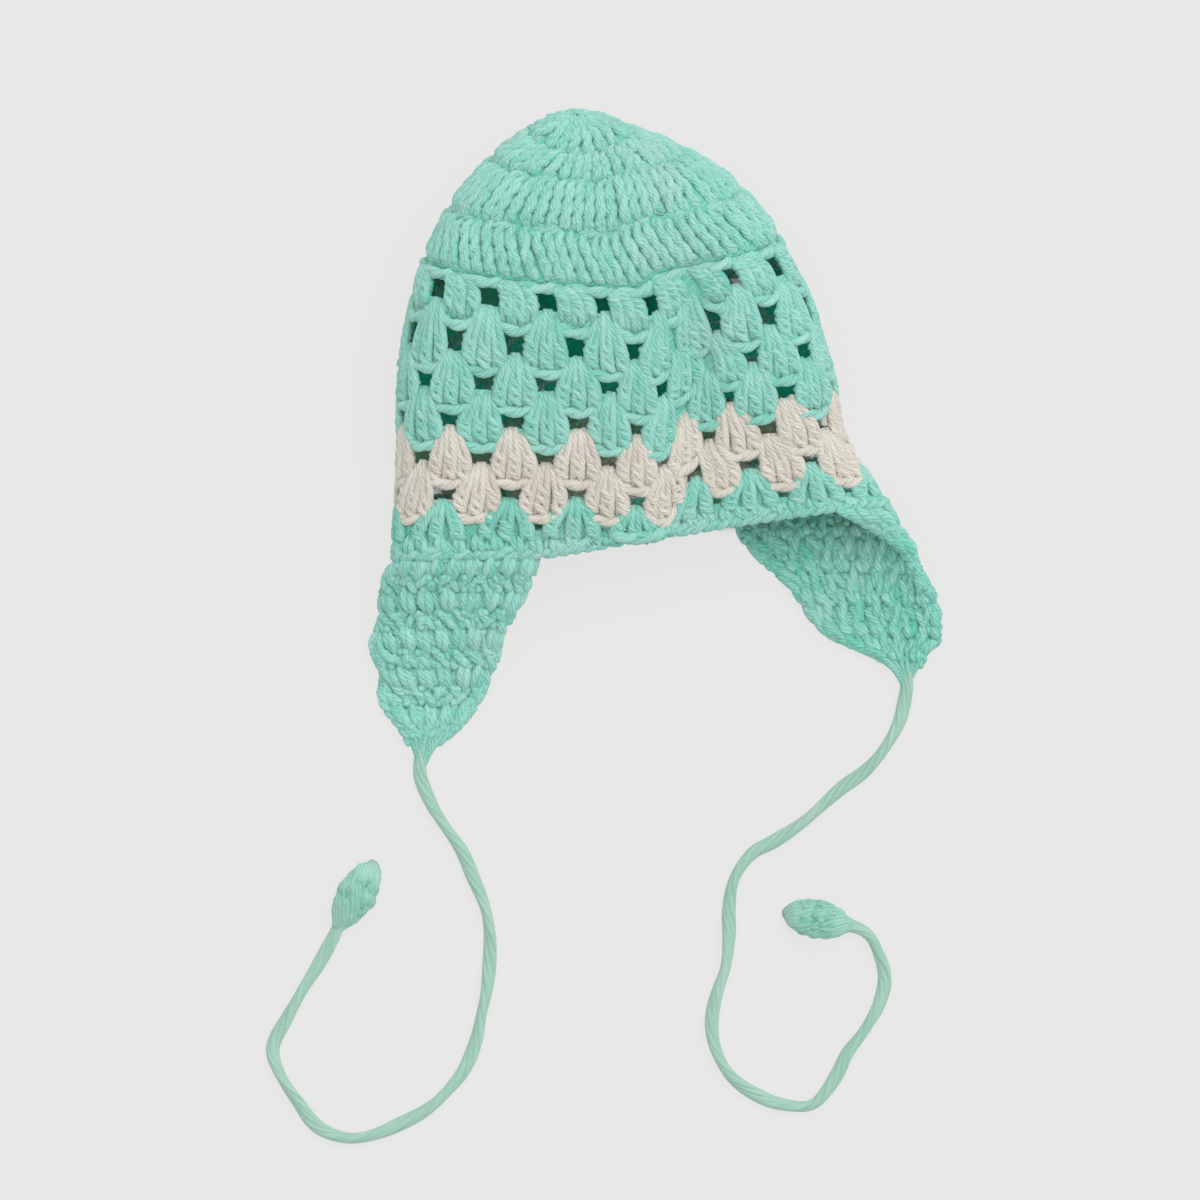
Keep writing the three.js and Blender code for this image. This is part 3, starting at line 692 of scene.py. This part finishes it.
def post(
    yarn, fabric, top, low, across, top_across, pitch, spread, wraps, deep_top=1.9, deep_low=1.2, sunk=0.0,
    start_gap=0.6, wrap_depth=1.1, wrap_slant=0.11, plump=1.06, turns=0.0,
):
    """Tall stitches side by side: a pair of strands each, crossed by slanting wraps.

    top, low, across, top_across and pitch have a value for each stitch, in the fabric's own measure.
    """
    count = len(across)
    y = np.linspace(0, 1, POST_STEPS)
    middle = top_across[:, None] + (across - top_across)[:, None] * smooth(0.0, POST_LEAN, y)
    down = top[:, None] + (low - top)[:, None] * y
    depth = -POST_DEPTH - sunk - deep_top * np.exp(-(y / POST_TOP) ** 2) - deep_low * smooth(POST_FOOT, 1, y)
    radius = plump * YARN_RADIUS * (0.96 + 0.12 * smooth(0, 0.3, y))
    phase = RANDOM.uniform(-0.9, 0.9, (count, 1))
    first_wrap = jitter(count, 0.025)
    for hand in (-1, 1):
        gap = hand * spread * (start_gap + (1 - start_gap) * smooth(*PAIR_OPENS, y)) * pitch[:, None]
        own = depth + jitter(count, POST_SCATTER) - (PAIR_STEP if hand < 0 else 0)
        if turns:
            turn = 2 * np.pi * turns * y + phase
            gap = gap * np.cos(turn)
            own = own + 0.1 + hand * PAIR_SWING * np.sin(turn)
        lay_on(yarn, fabric, down, middle + gap, own, radius=radius)
    t = np.linspace(-1, 1, WRAP_STEPS)
    for at in wraps:
        centre = top_across + (across - top_across) * smooth(0.0, POST_LEAN, at)
        wrap_across = centre[:, None] + (t * WRAP_REACH * spread + jitter(count, 0.006)) * pitch[:, None]
        share = at + wrap_slant * t + first_wrap + jitter(count, 0.015)
        wrap_down = top[:, None] + (low - top)[:, None] * share
        ends = WRAP_CURVE[0] * np.abs(t) ** WRAP_CURVE[1]
        wrap_level = -wrap_depth - sunk - ends + jitter(count, WRAP_SCATTER)
        lay_on(yarn, fabric, wrap_down, wrap_across, wrap_level, radius=YARN_RADIUS * WRAP_PLUMP)


ROPE_FLATNESS = 0.8


def rope(yarn, fabric, down, across, depth, turn_length, swing, radius=YARN_RADIUS, start=0.0):
    """Two strands twisted round a line on the fabric."""
    points, out = fabric.place(down, across, depth)
    lengths = lengths_along(points)
    side = unit(np.cross(unit(np.gradient(points, axis=0)), out))
    for half_turn in (0, 0.5):
        turn = 2 * np.pi * (lengths / turn_length + half_turn) + start
        line = points + swing * (np.cos(turn)[:, None] * side + ROPE_FLATNESS * np.sin(turn)[:, None] * out)
        yarn.lay(line[None], out[None], radius=radius)


FAN_TIP = 0.13  # how far apart its posts start, in pitches
FAN_FOOT = 0.245  # how far apart they end, as a share of the fan's width
FAN_SPREAD = 0.06
FAN_WRAPS = (0.55, 0.7, 0.86)
FAN_SCATTER = 0.015
LEVEL_SCATTER = 0.03
NEAR_HOLE = 0.33  # a fan further than this from the holes above hangs from the seam


def hole_places(n):
    """Where the holes of one round lie, in pitches from the seam, from left to right round the cap."""
    size = round_sizes(n)
    places = np.arange(CLUSTERS) + (0.0 if n % 2 == 1 else 0.5)
    places = places + (places > 0) * size["stretch"] * (1 - smooth(*STRETCH_EASE, places))
    if n >= FIRST_SEAM_HOLE:
        places = np.append(places, size["stretch_middle"])
    return np.sort(places)


def fan_places(n):
    """The middle and width of each fan's foot, and where the fan starts: in a hole of the round above.

    Above the first seam hole, the wide space at the seam holds two fans.
    """
    holes = hole_places(n)
    widths = np.diff(np.append(holes, holes[0] + CLUSTERS))
    feet = holes + widths / 2
    if n < FIRST_SEAM_HOLE:
        wide = int(np.argmax(widths))
        pair = holes[wide] + widths[wide] * np.array([0.25, 0.75])
        feet = np.concatenate([np.delete(feet, wide), pair])
        widths = np.concatenate([np.delete(widths, wide), np.full(2, widths[wide] / 2)])
    tops = feet.copy()
    if n > CROWN_END + 1:
        above = hole_places(n - 1)
        apart = (above - feet[:, None] + CLUSTERS / 2) % CLUSTERS - CLUSTERS / 2
        nearest = apart[np.arange(len(feet)), np.argmin(np.abs(apart), axis=1)]
        tops = np.where(np.abs(nearest) < NEAR_HOLE, feet + nearest, feet)
    return feet, widths, tops


def fans(yarn, n, above, below=0.64, tip=FAN_TIP, foot=FAN_FOOT, wraps=FAN_WRAPS):
    """One round of fans of three posts, each standing in the hole of the round above.

    above and below are where the posts start and end, in rounds from this one.
    """
    feet, sizes, tops = fan_places(n)
    count = len(feet)
    feet = feet + scatter(count, FAN_SCATTER)
    tops = tops + scatter(count, FAN_SCATTER)
    top = n - above + scatter(count, LEVEL_SCATTER)
    low = n + below + scatter(count, LEVEL_SCATTER)
    for hand in (-1, 1, 0):
        shift = scatter(count, 0.012)
        post(
            yarn, CAP,
            top=top + abs(hand) * 0.06 + scatter(count, 0.035),
            low=low - abs(hand) * 0.04 + scatter(count, 0.015),
            across=feet + (hand * foot + shift) * sizes,
            top_across=tops + (hand * tip + shift / 2) * np.minimum(sizes, 1),
            pitch=0.5 + 0.5 * sizes,
            spread=FAN_SPREAD,
            wraps=wraps,
            deep_low=1.4,
            sunk=0.15 * abs(hand),
        )


BAR_STEPS = 12
BAR_FORM = 0.45  # power: the chain is broad at its foot and pulled up steeply
BAR_DROP = 2.9  # where it goes in between the fans


def bars(yarn, n, low, high, depth=-1.7, turn_length=15.0, radius=1.5):
    """The chain along the feet of one round: low over the holes below and pulled up between the fans."""
    share = np.linspace(0, 1, BAR_STEPS + 1)
    wave = (0.5 - 0.5 * np.cos(2 * np.pi * share)) ** BAR_FORM
    level = high + (low - high) * wave
    feet, widths, _ = fan_places(n)
    for foot, width in zip(feet, widths):
        rope(
            yarn, CAP, level, foot + width * (share - 0.5), depth - BAR_DROP * (1 - wave), turn_length,
            swing=radius / 2, radius=radius, start=RANDOM.uniform(0, 6),
        )


# painted shade: the cap's inner face, deep in the hollow behind the holes
INNER_PAINTED_SHADE = -2.0


def backing(yarn, fabric, down, across, front, thick, holes=None, tone=-0.4, back_tone=INNER_PAINTED_SHADE):
    """The dense middle of a piece behind its stitches, painted darker as shade between them, and with painted
    shade on its inner face.
    """
    grid_down, grid_across = np.meshgrid(down, across, indexing="ij")
    outer, _ = fabric.place(grid_down, grid_across, front)
    inner, _ = fabric.place(grid_down, grid_across, front - thick)
    yarn.lay_sheet(outer, inner, holes, fabric.closed, tone, back_tone)


HOLE_HALF_WIDTH = 0.2  # in pitches
HOLE_HALF_HEIGHT = 0.24  # in rounds
HOLE_HALF_HEIGHTS = {5: 0.34, 6: 0.34, LAST_HOLE_ROUND: 0.12}  # where it differs
CELLS = 10  # of the backing, to a round and to a pitch
RIM_PAINTED_SHADE = -0.4
RIM_LIGHT = (8.5, 10.6)  # rounds over which the inner face's painted shade gives way to painted light, where light comes in at the rim


def lace_backing(yarn, first, last, hole_rounds):
    """The dense middle of the fans, open at each hole."""
    down = np.linspace(first, last, int(round((last - first) * CELLS)) + 1)
    across = np.arange(CLUSTERS * CELLS) / CELLS
    middle_down = (down[:-1] + down[1:]) / 2
    middle_across = across + 0.5 / CELLS
    holes = np.zeros((len(down) - 1, len(across)), bool)
    for n in hole_rounds:
        apart = (middle_across[:, None] - hole_places(n) + CLUSTERS / 2) % CLUSTERS - CLUSTERS / 2
        away = np.abs(apart).min(axis=1)
        tall = HOLE_HALF_HEIGHTS.get(n, HOLE_HALF_HEIGHT)
        holes |= (np.abs(middle_down - n)[:, None] < tall) & (away < HOLE_HALF_WIDTH)
    from_seam = middle_across - CLUSTERS
    over_flap = (from_seam > LEFT_FLAP["from"]) & (from_seam < LEFT_FLAP["to"])
    holes[(middle_down > LAST_HOLE_ROUND - 0.5)[:, None] & over_flap] = False
    # painted shade of the inner face, lighter towards the rim as painted light
    back_tone = INNER_PAINTED_SHADE + (RIM_PAINTED_SHADE - INNER_PAINTED_SHADE) * smooth(*RIM_LIGHT, down)
    backing(yarn, CAP, down, across, -2.35, 1.1, holes=holes, back_tone=back_tone)


def crown_round(yarn, start, stop, count, wraps):
    centres = (np.arange(count) + RANDOM.uniform(-0.06, 0.06, count)) * CLUSTERS / count
    pitch = np.full(count, CLUSTERS / count)
    post(
        yarn, CAP,
        top=np.full(count, start + 0.03) + scatter(count, 0.02),
        low=np.full(count, stop) + scatter(count, 0.015),
        across=centres + RANDOM.normal(0.1, 0.1, count) * pitch,
        top_across=centres,
        pitch=pitch,
        spread=0.22,
        wraps=wraps,
        deep_top=2.0,
        deep_low=1.6,
        start_gap=1.0,
        wrap_depth=1.3,
        wrap_slant=0.09,
        plump=1.15,
        turns=1.7,
    )


CROWN_ROUNDS = [
    # start, stop, stitches, wraps
    (0.1, 1.0, 18, (0.6,)),
    (1.0, 2.0, 38, (0.4, 0.8)),
    (2.0, 3.0, 54, (0.3, 0.55, 0.8)),
    (3.0, 3.98, 64, (0.3, 0.55, 0.8)),
]


def make_crown():
    yarn = Yarn()
    for start, stop, count, wraps in CROWN_ROUNDS:
        crown_round(yarn, start, stop, count, wraps)
    levels = np.linspace(0.02, CROWN_END + 0.1, 42)
    # painted shade on the crown's backing, between its stitches and inside the hollow
    backing(yarn, CAP, levels, np.arange(6 * CLUSTERS) / 6, -2.0, 1.3, tone=-0.6)
    for n in (1, 2, 3):
        bars(yarn, n, n + 0.05, n - 0.02, depth=-2.2, turn_length=8.0, radius=1.15)
    bars(yarn, CROWN_END, CROWN_END + 0.42, CROWN_END + 0.1, depth=-1.6)
    yarn.make("crown", MINT)


FAN_STARTS = {5: 0.8, 6: 0.72, 7: 0.74, 8: 0.8, 9: 0.84, 10: 0.84, 11: 0.84}
UNUSUAL_FANS = {
    5: {"below": 0.62, "tip": 0.17, "foot": 0.22, "wraps": (0.42, 0.6, 0.78)},
    11: {"below": 0.5, "foot": 0.31, "wraps": (0.5, 0.65, 0.8)},
}
BANDS = {
    # rounds of fans, first and last level of the backing, tone (painted shade over the brim), slot, material
    "lace_body": ((5, 6, 7, 8), 4.1, 8.49, 0.0, "mint_yarn", MINT),
    "white_band": ((9, 10), 8.51, 10.49, 0.0, "off_white_yarn", OFF_WHITE),
    "brim_band": ((11,), 10.51, 11.98, -0.12, "mint_yarn", MINT),
}


def make_band(name):
    rounds, first, last, tone, slot, material = BANDS[name]
    yarn = Yarn(tone)
    for n in rounds:
        fans(yarn, n, FAN_STARTS[n], **UNUSUAL_FANS.get(n, {}))
        bars(yarn, n, n + 0.74, n + 0.42)
    lace_backing(yarn, first, last, rounds)
    if LAST_HOLE_ROUND in rounds:
        edge_rim(yarn)
    yarn.make(name, material)


def short_stitches(yarn, fabric, level, height, count, inside=False, tone=0.0, plump=1.25):
    """One row of short stitches: a plump pair of strands that cross over, with a small bump at each joint."""
    width = (fabric.across[1] - fabric.across[0]) / count
    centres = (np.arange(count) + 0.5) * width + scatter(count, 0.06) * width
    y = np.linspace(0, 1, 9)
    lean = jitter(count, 0.08)
    shift = jitter(count, 0.06) * height
    sunk = jitter(count, 0.2)
    phase = RANDOM.uniform(-0.7, 0.5, (count, 1))
    for hand in (-1, 1):
        turn = 2.6 * (y - 0.4) + phase
        middle = centres[:, None] + (hand * 0.17 * np.cos(turn) + (0.1 + lean) * (y - 0.5)) * width
        down = level + height * (-0.1 + 1.2 * y) + shift
        depth = -1.3 - 2.5 * np.abs(2 * y - 1) ** 2.5 + sunk + hand * 0.55 * np.sin(turn)
        radius = plump * YARN_RADIUS * (0.72 + 0.4 * np.sin(np.pi * y))
        lay_on(yarn, fabric, down, middle, depth, inside, radius=radius, tone=tone)
    t = np.linspace(-1, 1, 6)
    turn = np.sign(RANDOM.random((count, 1)) - 0.3)
    down = level + height * (0.5 + turn * 0.34 * t)
    middle = centres[:, None] + (0.5 + 0.12 * t) * width
    depth = -2.1 - 0.9 * t**2 + jitter(count, 0.2)
    lay_on(yarn, fabric, down, middle, depth, inside, radius=0.9 * plump * YARN_RADIUS, tone=tone)


BUMPS = (
    # place down the row, slant, half length, place across, plumpness
    (0.25, 0.5, 0.3, 0.0, 1.35),
    (0.75, 0.5, 0.25, 0.45, 1.25),
)


def bump_row(yarn, fabric, level, height, count, inside=False):
    """One row of stitches seen from their back: short rounded bumps that lie slantwise."""
    centres = (np.arange(count) + 0.5) / count + scatter(count, 0.1) / count
    t = np.linspace(-1, 1, 7)
    for low, slant, half_length, middle, plump in BUMPS:
        turn = np.sign(RANDOM.random((count, 1)) - 0.25)
        down = level + height * (low + turn * slant * t) + jitter(count, 0.1) * height
        place = centres[:, None] + (middle + half_length * t + jitter(count, 0.08)) / count
        depth = -1.45 - 1.7 * np.abs(t) ** 2.5 + jitter(count, 0.3)
        lay_on(yarn, fabric, down, place, depth, inside, radius=plump * YARN_RADIUS)


ROOT_SHARES = (0.08, 0.22, 0.36, 0.5, 0.64, 0.78, 0.92)  # places across the flap
ROOT_START = 0.84
ROOT_END = 8  # the place on the tie's path where its strands end
ROOT_NARROWING = 0.35
ROOT_SPREAD = (0.12, 0.3)  # of their ends, along the surface and in height


def tie_root(yarn, fabric, tie):
    """Strands that gather the flap's point into the top of its tie, whose path is given."""
    reach = tie[ROOT_END]
    t = np.linspace(0, 1, 9)[:, None]
    for share in ROOT_SHARES:
        for depth in (-YARN_RADIUS, YARN_RADIUS - WALL):
            start, _ = fabric.place(ROOT_START, share, depth)
            middle, _ = fabric.place(1.0, 0.5 + ROOT_NARROWING * (share - 0.5), depth)
            end = reach + ROOT_SPREAD[0] * (middle - tie[0])
            end[2] = reach[2] + ROOT_SPREAD[1] * (middle[2] - reach[2])
            line = (1 - t) ** 2 * start + 2 * t * (1 - t) * middle + t**2 * end
            out = np.broadcast_to(UP, line.shape)
            yarn.lay(line[None], out[None], radius=YARN_RADIUS - 0.7 * t[None, :, 0])


# Rows of short stitches and rows of bumps by turns
FLAP_LEVELS = (0.0, 0.125, 0.19, 0.315, 0.38, 0.505, 0.57, 0.695, 0.76, 0.885, 0.93)
SHORT_STITCH_WIDTH = 6.0
FLAP_EDGES = (0.02, 0.98)
FLAP_EDGE_STEPS = 60


def make_flap_piece(name, fabric, tie, tone):
    yarn = Yarn(tone)
    tie_root(yarn, fabric, tie)
    for row, (level, low) in enumerate(zip(FLAP_LEVELS, FLAP_LEVELS[1:])):
        count = max(3, int(round(fabric.width((level + low) / 2) / SHORT_STITCH_WIDTH)))
        for inside in (False, True):
            lay_row = short_stitches if (row % 2 == 0) != inside else bump_row
            lay_row(yarn, fabric, level, low - level, count, inside=inside)
    levels = np.linspace(0, 1, 28)
    # painted shade on both faces of the flap's backing, between its stitches
    backing(yarn, fabric, levels, np.linspace(0, 1, 40), -1.95, 0.6, tone=-0.3, back_tone=-0.3)
    for edge in FLAP_EDGES:
        rope(yarn, fabric, np.linspace(0.0, 0.98, FLAP_EDGE_STEPS), edge, -2.2, 8.0, swing=0.8)
    yarn.make(name, MINT)


RIM_STITCHES = 58


def edge_rim(yarn):
    """The row of short stitches above the rim, and the chain along it."""
    short_stitches(yarn, CAP, 11.3, 0.6, RIM_STITCHES, plump=1.0)
    share = np.linspace(0, 1, 13)
    for k in range(CLUSTERS):
        rope(yarn, CAP, RIM - 0.1, k + share, -1.9, 9.0, swing=1.0, radius=1.4, start=0.3 * k)


# Ties and bobbles

CORD_DIAMETER = 4.8
LEFT_ROUTE = [
    [-85, -115], [-85, -125], [-81, -135], [-76, -143], [-70, -152], [-66, -161], [-62, -171], [-60, -181],
    [-60, -191], [-61, -201], [-63, -211], [-65, -220], [-69, -230], [-75, -238], [-83, -245], [-92, -250],
    [-102, -254], [-112, -255], [-122, -251], [-129, -242], [-135, -233], [-138, -223], [-133, -212],
    [-128, -203], [-123, -195], [-118, -186], [-115, -180],
]
RIGHT_ROUTE = [
    [90.6, -87.4], [89.5, -96], [87, -106], [82, -115], [75, -123], [67, -129], [59, -136], [52, -142],
    [43, -148], [34, -153], [28, -162], [26, -172], [26, -183], [25, -193], [22, -202], [20, -212],
    [21, -222], [26, -232], [35, -239], [45, -243], [56, -243], [64, -234], [69, -224], [75, -216],
    [80, -207], [82, -197], [79, -186.5], [76.8, -182.6], [73.6, -180.2], [70.9, -179.1],
]
STEPS_PER_POINT = 7
CORD_SIDES = 20
CORD_HALF_WIDTH = 2.55  # the felted cord is a little flat
CORD_HALF_THICKNESS = 1.9
FLAT_TURN = 70.0  # the length in which its flat section turns once
NARROW_AT = 65.0
PLY_RELIEF = 0.035  # three plies still show faintly
PLY_TURN = 26.0
CORD_FIBRE_TURN = 48.0
IN_BUD = (1.0, 2.0, 3.0)
IN_FLAP = (6.0, 4.0, 2.0)
SLIM_SHARE = 0.35  # of its thickness at its first end
SLIM_END = 5.0


def make_tie(name, route, bud):
    """A felted cord along its route and a little way into its flap and its bobble."""
    points = np.array([[x, y, CORD_DIAMETER / 2] for x, y in route], float)
    path = centripetal(points, np.linspace(0, 1, STEPS_PER_POINT * (len(route) - 1) + 1))
    length = lengths_along(path)[-1]
    towards = unit(np.array([*bud["tip"], 0.0]) - np.array([*bud["base"], 0.0]))
    away = unit(path[1] - path[0])
    line = np.concatenate([
        path[0] - away * np.array(IN_FLAP)[:, None],
        path,
        path[-1] + towards * np.array(IN_BUD)[:, None],
    ])
    lengths = lengths_along(line) - IN_FLAP[0]
    flat = 2 * np.pi * (lengths - NARROW_AT)[:, None] / FLAT_TURN + np.pi / 2
    line[:, 2] = np.hypot(CORD_HALF_WIDTH * np.sin(flat), CORD_HALF_THICKNESS * np.cos(flat))[:, 0]
    angle = 2 * np.pi * np.arange(CORD_SIDES) / CORD_SIDES
    across = np.cos(angle - flat) / CORD_HALF_WIDTH
    through = np.sin(angle - flat) / CORD_HALF_THICKNESS
    ply = np.cos(3 * angle - 2 * np.pi * lengths[:, None] / PLY_TURN)
    slim = SLIM_SHARE + (1 - SLIM_SHARE) * smooth(-IN_FLAP[0], SLIM_END, lengths)[:, None]
    radius = slim * (1 + PLY_RELIEF * ply) / np.hypot(across, through)
    out = np.broadcast_to(UP, line.shape)
    yarn = Yarn()
    yarn.lay(line[None], out[None], radius=radius[None], sides=CORD_SIDES, twist_length=CORD_FIBRE_TURN)
    return yarn.make(name, MINT_CORD), path, line, length


LEFT_BUD = {"base": [-115, -179.6], "tip": [-101, -155.5]}
RIGHT_BUD = {"base": [70.3, -178.9], "tip": [45.2, -173.6]}
BUD_OUTLINE = np.array([
    # share of the length, half width
    [0, 2.4], [0.05, 2.9], [0.15, 4.9], [0.3, 6.8], [0.5, 7.8], [0.72, 6.7], [0.85, 5.1], [0.93, 3.4],
    [0.98, 1.9], [1, 0.9],
])
BUD_FLATNESS = 0.78  # of its height, beside its width
BUD_RINGS = 49
BUD_SIDES = 64
BUD_STITCHES = ((0.2, 0.2, 7), (0.4, 0.22, 8), (0.6, 0.2, 7))  # level, height, stitches
STITCHES_IN = 0.55  # how far inside the outline they lie
STITCH_RINGS = 33
FELT_TURN = 24.0
FELT_TURNS_ROUND = 3
BUD_PITS = 26
PIT_SHARES = (0.25, 0.8)
PIT_DEPTH = 1.1
PIT_RADIUS = 1.0
LUMPS = 14
LUMP_SIZE = 2.4
LUMP_HEIGHT = 0.2


def lumps(points, size):
    """Gentle random rises and dips of about this size, most of them from -1 to 1."""
    total = np.zeros(points.shape[:-1])
    for _ in range(LUMPS):
        direction = unit(RANDOM.normal(0, 1, 3)) * 2 * np.pi / (size * RANDOM.uniform(1.4, 2.6))
        total += np.cos(points @ direction + RANDOM.uniform(0, 2 * np.pi))
    return total / math.sqrt(LUMPS)


def bud_outline(bud, shares):
    """The bobble's smooth outline, ring by ring from its base to its tip, lying on the surface."""
    base, tip = np.array([*bud["base"], 0.0]), np.array([*bud["tip"], 0.0])
    along = tip - base
    side = unit(np.array([-along[1], along[0], 0.0]))
    rows = np.interp(shares, BUD_OUTLINE[:, 0], range(len(BUD_OUTLINE)))
    halves = np.array([through_rows(BUD_OUTLINE[:, 1:], row)[0] for row in rows])
    heights = halves * (1 + (BUD_FLATNESS - 1) * smooth(0, 0.12, shares))
    turn = -2 * np.pi * np.arange(BUD_SIDES) / BUD_SIDES
    return (
        base + along * shares[:, None, None] + side * (halves[:, None, None] * np.cos(turn)[:, None])
        + np.array(UP) * (heights[:, None, None] * (1 + np.sin(turn)[:, None]))
    )


def make_bud(name, bud):
    """A felted bobble, smooth at both ends, with crumpled stitches and pits in its middle, painted with shade
    in the pits and between the stitches.
    """
    shares = 0.5 - 0.5 * np.cos(np.pi * np.linspace(0, 1, BUD_RINGS))
    points = bud_outline(bud, shares)
    even = np.linspace(0, 1, STITCH_RINGS)
    even_points = np.array([
        [np.interp(even, shares, points[:, c, k]) for c in range(0, BUD_SIDES, 2)] for k in range(3)
    ]).transpose(2, 1, 0)
    fabric = Fabric(even_points, closed=True)
    fabric.points = fabric.points - STITCHES_IN * fabric.normals
    yarn = Yarn()
    for level, height, count in BUD_STITCHES:
        # painted shade on the bobble's stitches
        short_stitches(yarn, fabric, level, height, count, tone=-0.3, plump=1.0)
    normals = Fabric(points, closed=True).normals[:, :-1]
    middle = (smooth(0.12, 0.34, shares) * (1 - smooth(0.68, 0.88, shares)))[:, None]
    depth = -0.1 - 0.6 * middle + LUMP_HEIGHT * lumps(points, LUMP_SIZE)
    # painted shade: the skin is darker in the middle, where it sinks between the stitches
    tones = 0.1 - 0.4 * middle + np.zeros(depth.shape)
    for _ in range(BUD_PITS):
        ring = np.argmin(np.abs(shares - RANDOM.uniform(*PIT_SHARES)))
        centre = points[ring, RANDOM.integers(0, BUD_SIDES)]
        near = np.exp(-(np.linalg.norm(points - centre, axis=-1) / PIT_RADIUS) ** 2)
        depth -= PIT_DEPTH * near
        # painted shade in each pit
        tones = np.maximum(tones - 0.7 * near, -0.9)
    yarn.lay_skin(points + normals * depth[..., None], tones, FELT_TURN, FELT_TURNS_ROUND)
    return yarn.make(name, MINT_FELT)


buds = {"left": make_bud("bud_left", LEFT_BUD), "right": make_bud("bud_right", RIGHT_BUD)}
ties = {}
for hand, route, bud in (("left", LEFT_ROUTE, LEFT_BUD), ("right", RIGHT_ROUTE, RIGHT_BUD)):
    tie, path, line, length = make_tie("tie_" + hand, route, bud)
    ties[hand] = path

make_crown()
for band in BANDS:
    make_band(band)
make_flap_piece("ear_flap_left", LEFT_FABRIC, ties["left"], tone=0.0)
# painted shade: the whole right flap is painted darker
make_flap_piece("ear_flap_right", RIGHT_FABRIC, ties["right"], tone=-0.3)


# Floor and light

FLOOR_HALF = 4.0  # in metres
FLOOR_COLOUR = (0.08, 0.08, 0.0794, 1)
GLOW_COLOUR = (1.0, 1.0, 0.985, 1)
GLOW_UNDER_CAP = 0.16
GLOW_BESIDE_CAP = 0.728
DIM_MIDDLE = (-14, 7, 0)  # the floor glows less in an oval under the cap, so that the hollow stays dark
DIM_HALF = (81, 79, 1000)
DIM_EDGE = (0.83, 1.0)
DIM_END = (-32, -38)
AIR_LIGHT = 0.75
KEY_LIGHT = 1.35
KEY_SPREAD = 50
KEY_TURN = (-32, 24, 0)


def add_floor():
    mesh = bpy.data.meshes.new("floor")
    corners = [(x * FLOOR_HALF, y * FLOOR_HALF, 0) for x, y in ((-1, -1), (1, -1), (1, 1), (-1, 1))]
    mesh.from_pydata(corners, [], [(0, 1, 2, 3)])
    tree = Nodes("floor")
    add, link, shader = tree.add, tree.link, tree.shader
    with_values(
        shader, Base_Color=FLOOR_COLOUR, Emission_Color=GLOW_COLOUR, Roughness=1.0, Specular_IOR_Level=0.0,
    )
    where = add("ShaderNodeTexCoord").outputs["Object"]
    middle, half = [x * MM for x in DIM_MIDDLE], [x * MM for x in DIM_HALF]
    spread = add("ShaderNodeMapping", vector_type="TEXTURE", Location=middle, Scale=half)
    link(where, spread.inputs["Vector"])
    away = add("ShaderNodeVectorMath", operation="LENGTH")
    link(spread.outputs[0], away.inputs[0])
    split = add("ShaderNodeSeparateXYZ")
    link(where, split.inputs[0])
    beyond = tree.smooth_range(away.outputs["Value"], *DIM_EDGE)
    below = tree.smooth_range(split.outputs["Y"], *(y * MM for y in DIM_END))
    strength = add("ShaderNodeMapRange", To_Min=GLOW_UNDER_CAP, To_Max=GLOW_BESIDE_CAP)
    link(tree.maths("MAXIMUM", beyond, below), strength.inputs["Value"])
    link(strength.outputs[0], shader.inputs["Emission Strength"])
    mesh.materials.append(tree.material)
    in_scene("floor", mesh)


def add_light():
    world = bpy.data.worlds.new("studio")
    world.use_nodes = True
    with_values(world.node_tree.nodes["Background"], Color=(1, 1, 1, 1), Strength=AIR_LIGHT)
    bpy.context.scene.world = world
    data = bpy.data.lights.new("key", "SUN")
    data.energy = KEY_LIGHT
    data.angle = math.radians(KEY_SPREAD)
    in_scene("key", data).rotation_euler = [math.radians(turn) for turn in KEY_TURN]
    bpy.context.scene.view_settings.view_transform = "Standard"


add_floor()
add_light()
